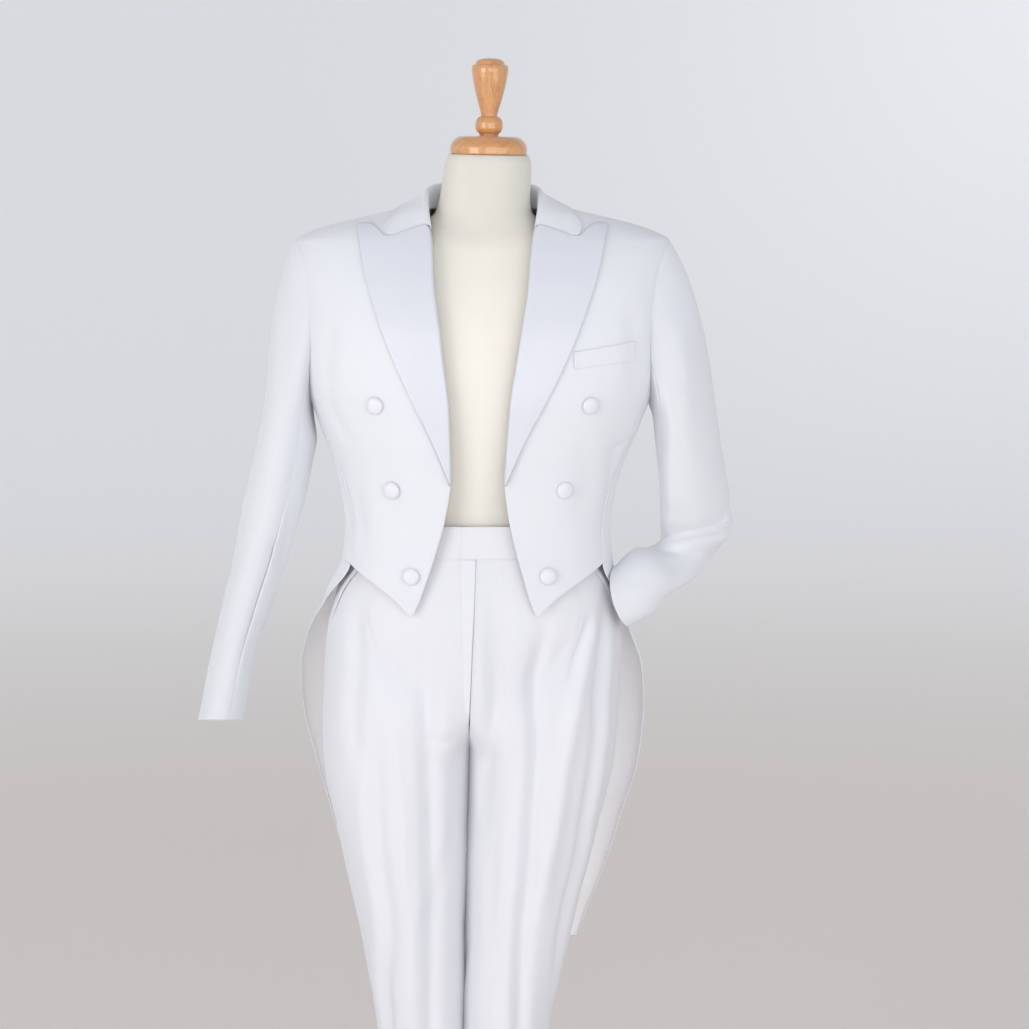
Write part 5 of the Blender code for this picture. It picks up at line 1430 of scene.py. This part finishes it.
def sleeve_place(sleeve, side, head, columns, shares):
    """Places on a sleeve: columns are steps round it and shares run from armhole to cuff."""
    centres = np.stack([side * sleeve["x"], sleeve["y"], sleeve["height"]], axis=-1)
    rows = {**sleeve, "run": lengths(centres), "side": centres[:, 0]}
    turns = 2 * math.pi * np.asarray(columns, float) / ARMHOLE_STEPS

    def oval(run):
        turn = np.radians(at(rows, "turn", run, "run"))
        dip = np.radians(at(rows, "dip", run, "run"))
        zero = np.zeros_like(turn)
        out = np.stack([side * np.cos(turn), -np.sin(turn), zero], axis=-1)
        fore = np.stack([-side * np.sin(turn) * np.cos(dip), -np.cos(turn) * np.cos(dip),
                         np.sin(dip)], axis=-1)
        middle = np.stack([at(rows, name, run, "run") for name in ("side", "y", "height")], axis=-1)
        out = out * at(rows, "across", run, "run")[:, None]
        fore = fore * at(rows, "along", run, "run")[:, None]
        return (middle[:, None] + out[:, None] * np.cos(turns)[:, None]
                + fore[:, None] * np.sin(turns)[:, None])

    loop = coat_surface(side, *armhole(columns).T)
    flare = unit((loop - armhole_middle(side)) * np.array([0.0, 1.0, 1.0]))
    top = (1 + np.cos(turns)) / 2
    way = np.stack([side * (head[0] + (head[1] - head[0]) * top), np.zeros_like(top),
                    np.full_like(top, -HEAD_FALL)], axis=-1)
    leave = unit(way + flare * HEAD_FLARE * (1 + top)[:, None])
    first = oval(np.array([0.0]))[0]
    arrive = unit(oval(np.array([0.004]))[0] - first)
    span = np.linalg.norm(first - loop, axis=1, keepdims=True)
    head_length, arm_length = span.mean(), rows["run"][-1]
    split = head_length / (head_length + arm_length)
    t = (shares[shares < split] / split)[:, None, None]
    start = loop - leave * SEAM_PRESS
    cap = (start * (1 + 2 * t) * (1 - t) ** 2 + leave * span * t * (1 - t) ** 2
           + first * t * t * (3 - 2 * t) + arrive * span * t * t * (t - 1))
    below = (shares[shares >= split] - split) / (1 - split) * arm_length
    return np.concatenate([cap, oval(below)])


def seam_allowance(side, columns):
    """The edge of a sleeve's head, pressed under the coat's cloth round the armhole."""
    angle, height = armhole(columns).T
    loop, normals = coat_surface(side, angle, height), coat_normals(side, angle, height)
    away = unit(np.cross(normals, np.gradient(loop, axis=0)))
    away *= np.sign(((loop - armhole_middle(side)) * away).sum(axis=-1, keepdims=True))
    return loop + away * ALLOWANCE - normals * 1.5 * WALL


for hand, side, sleeve, folds in (("right", -1.0, RIGHT_SLEEVE, RIGHT_FOLDS),
                                  ("left", 1.0, LEFT_SLEEVE, LEFT_FOLDS)):
    rows_down = spread(SLEEVE_LENGTH, COAT_STEP if side < 0 else LEFT_STEP)
    for part, first, last, outward in (
            ("top", HIND_COLUMN, FRONT_COLUMN + ARMHOLE_STEPS, (side, -0.3, 0.2)),
            ("under", FRONT_COLUMN, HIND_COLUMN, (-side, 0.3, -0.2))):
        columns = first + (last - first) * spread(PART_WIDTHS[part], COAT_STEP)
        sleeve_grid = sleeve_place(sleeve, side, HEADS[hand], columns, rows_down)
        sleeve_grid = np.concatenate([seam_allowance(side, columns)[None], sleeve_grid])
        coat_panel(f"sleeve_{part}", hand, sleeve_grid, outward, ("first", "last", "bottom"),
                   ("top",), folds, HANG_WAVE)


# ---- Lapels ---------------------------------------------------------------------------
# Broad peaked lapels faced with duchesse satin. The facing comes round from inside the
# coat, rolls softly over the front edge and lies on the chest, held only by its roll.

LAPEL_WALL = 0.0018
ROLL_HALF = 0.0042       # half of the thickness of the lapel's roll
LAPEL_EDGE = table("height x", [
    (1.120, 0.0350),
    (1.138, 0.0423),
    (1.170, 0.0560),
    (1.206, 0.0738),
    (1.250, 0.0957),
    (1.283, 0.1108),
    (1.3165, 0.1243),
    (1.3575, 0.1385),
    (1.387, 0.1472),
    (1.417, 0.1535),
    (1.441, 0.1577),
])
LAPEL_TOP = table("x height", [
    (0.0655, 1.4400),
    (0.0780, 1.4370),
    (0.0900, 1.4335),
    (0.1000, 1.4300),
    (0.1100, 1.4268),
    (0.1200, 1.4265),
    (0.1285, 1.4340),
    (0.1420, 1.4412),
    (0.1575, 1.4410),
])
LAPEL_SIZE = (0.09, 0.34)
GORGE_POWER = 9
TUCK = (0.006, 0.003)    # how far the facing's edge goes back inside the forepart
EDGE_RISE = 0.0005       # how far the lapel's free edge stands up, and over what width
EDGE_WIDTH = 0.016
BELLY_RISE = 0.0010      # how far its middle swells
ROLL_FADE = 0.014        # width over which the roll flattens out


def coat_front(side, x, height, lift):
    """Places on the coat's front, x wide of the centre line and moved out by lift."""
    angle = np.clip(ring_angle(COAT, x, height), 0.6, 179.4)
    normals = coat_normals(side, angle, height)
    return coat_surface(side, angle, height) + normals * np.asarray(lift)[..., None], normals


satin, satin_tree, satin_shader, satin_places = finish_material(
    "duchesse_satin", (0.73, 0.745, 0.81), (0.68, 0.69, 0.76), 11.0, 0.5, 0.36)
add_grain(satin_tree, satin_shader, satin_places.outputs["UV"], 900.0, 3.0, 0.00004, 0.6,
          stretch=(1.0, 0.08, 1.0))
fill(satin_tree, satin_shader, Sheen_Weight=0.12, Sheen_Roughness=0.3, Anisotropic=0.4)

curl = np.linspace(math.pi, 0.0, 15)[:-1]
for hand, side in SIDES:
    share = spread(LAPEL_SIZE[1], 0.0034)[:, None]
    across = spread(LAPEL_SIZE[0], 0.0030)[None, :]
    inner_height = ROLL_END + (LAPEL_TOP["height"][0] - ROLL_END) * share
    outer_height = ROLL_END + (LAPEL_TOP["height"][-1] - ROLL_END) * share
    edge_x = at(FRONT_EDGE, "x", inner_height)
    reach = roll_reach(inner_height)
    inner_x, outer_x = edge_x + reach, at(LAPEL_EDGE, "x", outer_height)
    top_x = LAPEL_TOP["x"][0] + np.ptp(LAPEL_TOP["x"]) * across
    bend = at(LAPEL_TOP, "height", top_x, "x") - LAPEL_TOP["height"][0]
    bend = bend - np.diff(LAPEL_TOP["height"][[0, -1]]) * across
    flat_x = inner_x + (outer_x - inner_x) * across
    flat_height = inner_height + (outer_height - inner_height) * across
    flat_height = flat_height + bend * share ** GORGE_POWER
    wide = (outer_x - inner_x) * across
    edge_lift = EDGE_RISE * smooth_step(1 - (outer_x - inner_x) * (1 - across) / EDGE_WIDTH)
    belly = BELLY_RISE * np.sin(math.pi * across) * smooth_step(wide / 0.03)
    flat_lift = (LIFT + LAPEL_WALL
                 + (ROLL_HALF - LIFT - LAPEL_WALL) * np.exp(-(wide / ROLL_FADE) ** 2)
                 + edge_lift + belly)
    curl_x = edge_x + reach * (1 - np.sin(curl))[None, :]
    curl_height = np.broadcast_to(inner_height, curl_x.shape)
    curl_lift = np.broadcast_to(ROLL_HALF * np.cos(curl)[None, :], curl_x.shape)
    tuck_x = edge_x + reach + np.array([TUCK])
    tuck_height = np.broadcast_to(inner_height, tuck_x.shape)
    lapel_grid = coat_front(side,
                            np.concatenate([tuck_x, curl_x, flat_x], axis=1),
                            np.concatenate([tuck_height, curl_height, flat_height], axis=1),
                            np.concatenate([np.full_like(tuck_x, -ROLL_HALF), curl_lift,
                                            flat_lift], axis=1))[0]
    lapel = cloth(f"lapel_{hand}_satin", lapel_grid, FORWARD, satin, None,
                  forepart_folds[side], seams=("top",), thickness=LAPEL_WALL, wave=COAT_WAVE)
    sewn(lapel, [f"lapel_{hand}"])


# ---- Collar ---------------------------------------------------------------------------
# One piece of the coat's twill on a stand: it goes up round the neck, folds over and lies
# on the shoulders, and its ends are sewn to the lapels along the gorge.

STAND_ENDS = 0.006
STAND_BACK = 0.030
COLLAR_REST = 0.0022
COLLAR_WALL = 0.0018
GORGE = 0.0005
LEAF_SHARES = (0.20, 0.38, 0.55, 0.72, 0.87, 1.0)
LEAF_DROP = 0.0016
LEAF_START = 0.06
COLLAR_FOLD = ((-0.0010, 1.00, 0.0), (-0.0006, 0.45, 0.0), (0.0008, 0.00, 0.0012),
               (0.0034, 0.00, 0.0))
COLLAR = (
    (0.0665, -0.0490, 1.4420, 0.1265, -0.0420),
    (0.0690, -0.0300, 1.4590, 0.1150, -0.0200),
    (0.0705, -0.0080, 1.4735, 0.1100, 0.0050),
    (0.0700, 0.0160, 1.4830, 0.1050, 0.0350),
    (0.0620, 0.0430, 1.4885, 0.0920, 0.0700),
    (0.0460, 0.0640, 1.4910, 0.0700, 0.0930),
    (0.0240, 0.0755, 1.4925, 0.0370, 0.1050),
    (0.0000, 0.0785, 1.4930, 0.0000, 0.1080),
)


def shoulder_surface(x, y):
    """Height of the coat's upper surface over a point seen from above, x off the centre."""
    low, high = 1.25, SHOULDER_TOP
    for _ in range(40):
        height = (low + high) / 2
        power, side_y = at(COAT, "power", height), at(COAT, "side_y", height)
        depth = (at(COAT, "front", height) + side_y if y < side_y
                 else at(COAT, "back", height) - side_y)
        wide = abs(x / at(COAT, "half_width", height))
        if wide ** power + abs((y - side_y) / depth) ** power > 1:
            high = height
        else:
            low = height
    return low if low < SHOULDER_TOP - 0.0002 else 0.0


def collar_row(index, side):
    """One cut across the collar: up the stand, over the fold and down the leaf."""
    fold, top, leaf = np.array(COLLAR[index][:2]), COLLAR[index][2], np.array(COLLAR[index][3:])
    away = unit(leaf - fold)
    stand = STAND_ENDS + (STAND_BACK - STAND_ENDS) * min(index / 4, 1.0)
    places = [(fold + away * out, top - stand * share - drop) for out, share, drop in COLLAR_FOLD]
    edge = shoulder_surface(*leaf) + COLLAR_REST
    for share in LEAF_SHARES:
        place = fold + (leaf - fold) * share
        fall = (share - LEAF_START) / (1 - LEAF_START)
        hang = top - LEAF_DROP + (edge - top + LEAF_DROP) * fall
        places.append((place, max(hang, shoulder_surface(*place) + COLLAR_REST)))
    if index == 0:
        gorge = [(x, h + GORGE) for x, h in zip(LAPEL_TOP["x"][1:6], LAPEL_TOP["height"][1:6])]
        gorge.append((leaf[0], edge))
        places[4:] = [(coat_front(1.0, x, h, 0.0)[0][:2] - np.array([centre_x(h), 0.0]),
                       h + COLLAR_REST) for x, h in gorge]
    return [(centre_x(NECK_FOOT) + side * place[0], place[1], height) for place, height in places]


def refine(grid, step):
    """A grid with more rows, on smooth lines through the given ones."""
    run = np.linalg.norm(np.diff(grid, axis=0), axis=2).mean(axis=1)
    run = np.concatenate([[0.0], np.cumsum(run)])
    places = spread(run[-1], step) * run[-1]
    flat = grid.reshape(len(grid), -1)
    lines = [at({"run": run, "place": flat[:, k]}, "place", places, "run")
             for k in range(flat.shape[1])]
    return np.stack(lines, axis=1).reshape(len(places), *grid.shape[1:])


collar_rows = [collar_row(i, -1.0) for i in range(len(COLLAR))]
collar_rows += [collar_row(i, 1.0) for i in range(len(COLLAR) - 2, -1, -1)]
collar_grid = refine(np.array(collar_rows, float), 0.0030)
collar_grid = refine(collar_grid.swapaxes(0, 1), 0.0026).swapaxes(0, 1)
collar_normals = grid_normals(collar_grid, (0.0, 0.3, 1.0))
collar = cloth("collar_cloth", collar_grid + collar_normals * COLLAR_WALL / 2, (0.0, 0.3, 1.0),
               coat_cloth, None, seams=("bottom", "top"), thickness=COLLAR_WALL, wave=STIFF_WAVE)
sewn(collar, ["collar"])


# ---- Breast welt ----------------------------------------------------------------------
# The welt of the breast pocket, a slanted strip of the coat's twill, interfaced, sewn in
# along its lower edge and stitched down at its two ends.

SEWN_LIFT = 0.0003       # gap under what is stitched down flat
WELT = ((0.117, 1.265), (0.194, 1.273), (0.194, 1.2975), (0.117, 1.2865))
welt_low, welt_right, welt_high, welt_left = np.array(WELT)
u, v = spread(0.078, 0.0026)[None, :, None], spread(0.024, 0.0026)[:, None, None]
welt_places = ((1 - v) * (welt_low + (welt_right - welt_low) * u)
               + v * (welt_left + (welt_high - welt_left) * u))
welt = cloth("breast_welt_cloth",
             coat_front(1.0, welt_places[..., 0], welt_places[..., 1],
                        np.full(welt_places.shape[:2], SEWN_LIFT + WALL))[0],
             FORWARD, coat_cloth, None, forepart_folds[1.0],
             seams=("bottom",), turned=("top", "first", "last"), wave=COAT_WAVE)
sewn(welt, ["breast_welt"])


# ---- Buttons --------------------------------------------------------------------------
# Six domed buttons covered in the lapels' satin, three on each front, drawn tight over a
# metal shell and sewn through the forepart by a shank.

BUTTON_RADIUS = 0.0110
BUTTON_DOME = 0.0044
BUTTONS = table("right_x left_x height", [
    (0.1300, 0.1385, 1.219),
    (0.1077, 0.1090, 1.1115),
    (0.0810, 0.0910, 1.003),
])
button_profile = [(0.0, 0.0), (0.0092, 0.0), (0.0104, 0.0003), (BUTTON_RADIUS, 0.0010)]
button_profile += [(BUTTON_RADIUS * math.cos(t) ** 0.8, 0.0010 + BUTTON_DOME * math.sin(t))
                   for t in np.linspace(0.1, math.pi / 2, 16)]
button_profile[-1] = (0.0, 0.0010 + BUTTON_DOME)
# A lighter copy of the lapels' satin: painted light, for the light that the domed buttons catch.
lit_button_satin, button_tree, button_shader, button_places = finish_material(
    "lit_button_satin", (0.80, 0.81, 0.85), (0.74, 0.75, 0.79), 60.0, 0.5, 0.36)
add_grain(button_tree, button_shader, button_places.outputs["Object"], 1500.0, 2.0, 0.00004, 0.6)
for hand, side in SIDES:
    for row, height in enumerate(BUTTONS["height"]):
        place, normal = coat_front(side, BUTTONS[f"{hand}_x"][row], height, LIFT)
        place = place + normal * COAT_WAVE * unevenness(place)
        turned_piece(f"covered_button_{hand}_{row + 1}", button_profile, 72, lit_button_satin,
                     f"button_{hand}_{row + 1}", place, normal)


# ---- Stitching ------------------------------------------------------------------------
# The stitches that show, in fine glazed cotton thread: the J that holds the fly's facing,
# a bar tack at each end of the pocket mouths, and the rows at the ends of the breast welt.

SEARCH = 0.006           # how far outside the cloth a line starts before it is laid on
WELT_SEARCH = 0.008
STITCH_PITCH = 0.0028
STITCH_LENGTH = 0.0023
THREAD_RADIUS = 0.00020
TACK_LENGTH = 0.006
TACK_ROWS = (-0.0006, 0.0, 0.0006)
FLY_STITCH = table("height x", [
    (0.775, 0.0030),
    (0.790, 0.0150),
    (0.812, 0.0250),
    (0.845, 0.0320),
    (0.900, 0.0350),
    (1.019, 0.0350),
])
row_group, row_in, row_out = new_group(
    "row of stitches",
    [("Path", "NodeSocketGeometry", None), ("Pitch", "NodeSocketFloat", STITCH_PITCH),
     ("Length", "NodeSocketFloat", STITCH_LENGTH), ("Radius", "NodeSocketFloat", THREAD_RADIUS),
     ("Seed", "NodeSocketInt", 7), ("Thread", "NodeSocketMaterial", None)],
    [("Stitches", "NodeSocketGeometry")], "GeometryNodeTree")
row_node, row_of = partial(node, row_group), row_in.outputs
row_curve = row_node("GeometryNodeMeshToCurve", Mesh=row_of["Path"])
row_points = row_node("GeometryNodeCurveToPoints", mode="LENGTH", Length=row_of["Pitch"],
                      Curve=row_curve.outputs["Curve"])
row_bead = row_node("GeometryNodeMeshUVSphere", Segments=8, Rings=6, Radius=1.0)
row_size = row_node("ShaderNodeCombineXYZ", X=row_of["Radius"], Y=row_of["Radius"],
                    Z=arithmetic(row_group, "MULTIPLY", row_of["Length"], 0.5))
row_shape = row_node("GeometryNodeTransform", Geometry=row_bead.outputs["Mesh"],
                     Scale=row_size.outputs["Vector"])
row_vary = row_node("FunctionNodeRandomValue", data_type="FLOAT_VECTOR", Seed=row_of["Seed"])
row_vary.inputs[0].default_value = (0.85, 0.85, 0.84)
row_vary.inputs[1].default_value = (1.10, 1.10, 1.02)
row_place = row_node("GeometryNodeInstanceOnPoints", Points=row_points.outputs["Points"],
                     Rotation=row_points.outputs["Rotation"], Scale=row_vary.outputs[0],
                     Instance=row_shape.outputs["Geometry"])
row_real = row_node("GeometryNodeRealizeInstances", Geometry=row_place.outputs["Instances"])
row_smooth = row_node("GeometryNodeSetShadeSmooth", Geometry=row_real.outputs["Geometry"])
row_paint = row_node("GeometryNodeSetMaterial", Geometry=row_smooth.outputs["Geometry"],
                     Material=row_of["Thread"])
fill(row_group, row_out, Stitches=row_paint.outputs["Geometry"])

thread, thread_tree, thread_shader, thread_places = finish_material(
    "cotton_thread", (0.86, 0.87, 0.90), (0.74, 0.75, 0.79), 400.0, 0.6, 0.48)
add_grain(thread_tree, thread_shader, thread_places.outputs["Object"], 4000.0, 1.0, 0.00003, 0.7)


def on_cloth(piece, places):
    """Places moved on to the outside of a piece of cloth, with the thread partly sunk in."""
    found = [piece.closest_point_on_mesh(Vector(place)) for place in places]
    return [tuple(point + normal * THREAD_RADIUS * 0.6) for _, point, normal, _ in found]


def stitched(name, lines, pitch, length, seed):
    """A piece made of rows of stitches that follow lines of places."""
    points, edges = [], []
    for line in lines:
        edges += [(len(points) + i, len(points) + i + 1) for i in range(len(line) - 1)]
        points += line
    path = bpy.data.meshes.new(name + "_path")
    path.from_pydata(points, edges, [])
    row = linked(name, path)
    modifier = row.modifiers.new("stitches", "NODES")
    modifier.node_group = row_group
    for key, value in (("Pitch", pitch), ("Length", length), ("Radius", THREAD_RADIUS),
                       ("Seed", seed), ("Thread", thread)):
        modifier[row_group.interface.items_tree[key].identifier] = value
    graph = bpy.context.evaluated_depsgraph_get()
    made = bpy.data.meshes.new_from_object(row.evaluated_get(graph))
    row.modifiers.remove(modifier)
    row.data = made
    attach(row, "root")


fly_down = np.linspace(FLY_STITCH["height"][-1], FLY_STITCH["height"][0], 90)
fly_places = trouser_place(1.0, share_at(1.0, at(FLY_STITCH, "x", fly_down), fly_down),
                           fly_down, SEARCH)
stitched("fly_stitches", [on_cloth(bpy.data.objects["trouser_front_left_cloth"], fly_places)],
         STITCH_PITCH, STITCH_LENGTH, 7)

tack_lines = []
for hand, side in SIDES:
    for height in (POCKET["height"][0] + 0.003, POCKET["height"][-1] - 0.004):
        share = float(np.interp(height, POCKET["height"], POCKET["across"]))
        share += POCKET_SHARE * 0.5
        middle = trouser_place(side, np.array([share]), np.array([height]), SEARCH)[0]
        for row_rise in TACK_ROWS:
            line = [middle + np.array([0.0, 0.0, row_rise]) + np.array([side * reach, 0.0, 0.0])
                    for reach in np.linspace(-TACK_LENGTH / 2, TACK_LENGTH / 2, 5)]
            tack_lines.append(on_cloth(bpy.data.objects[f"pocket_facing_{hand}"], line))
stitched("pocket_tacks", tack_lines, 0.0015, 0.0014, 11)

welt_rows = []
for first, last, toward in ((welt_low, welt_left, 0.0015), (welt_right, welt_high, -0.0015)):
    ends = np.stack([first + (last - first) * share for share in np.linspace(0.06, 0.94, 9)])
    places = coat_front(1.0, ends[:, 0] + toward, ends[:, 1], np.full(9, WELT_SEARCH))[0]
    welt_rows.append(on_cloth(welt, places))
stitched("welt_stitches", welt_rows, 0.0020, 0.0016, 3)
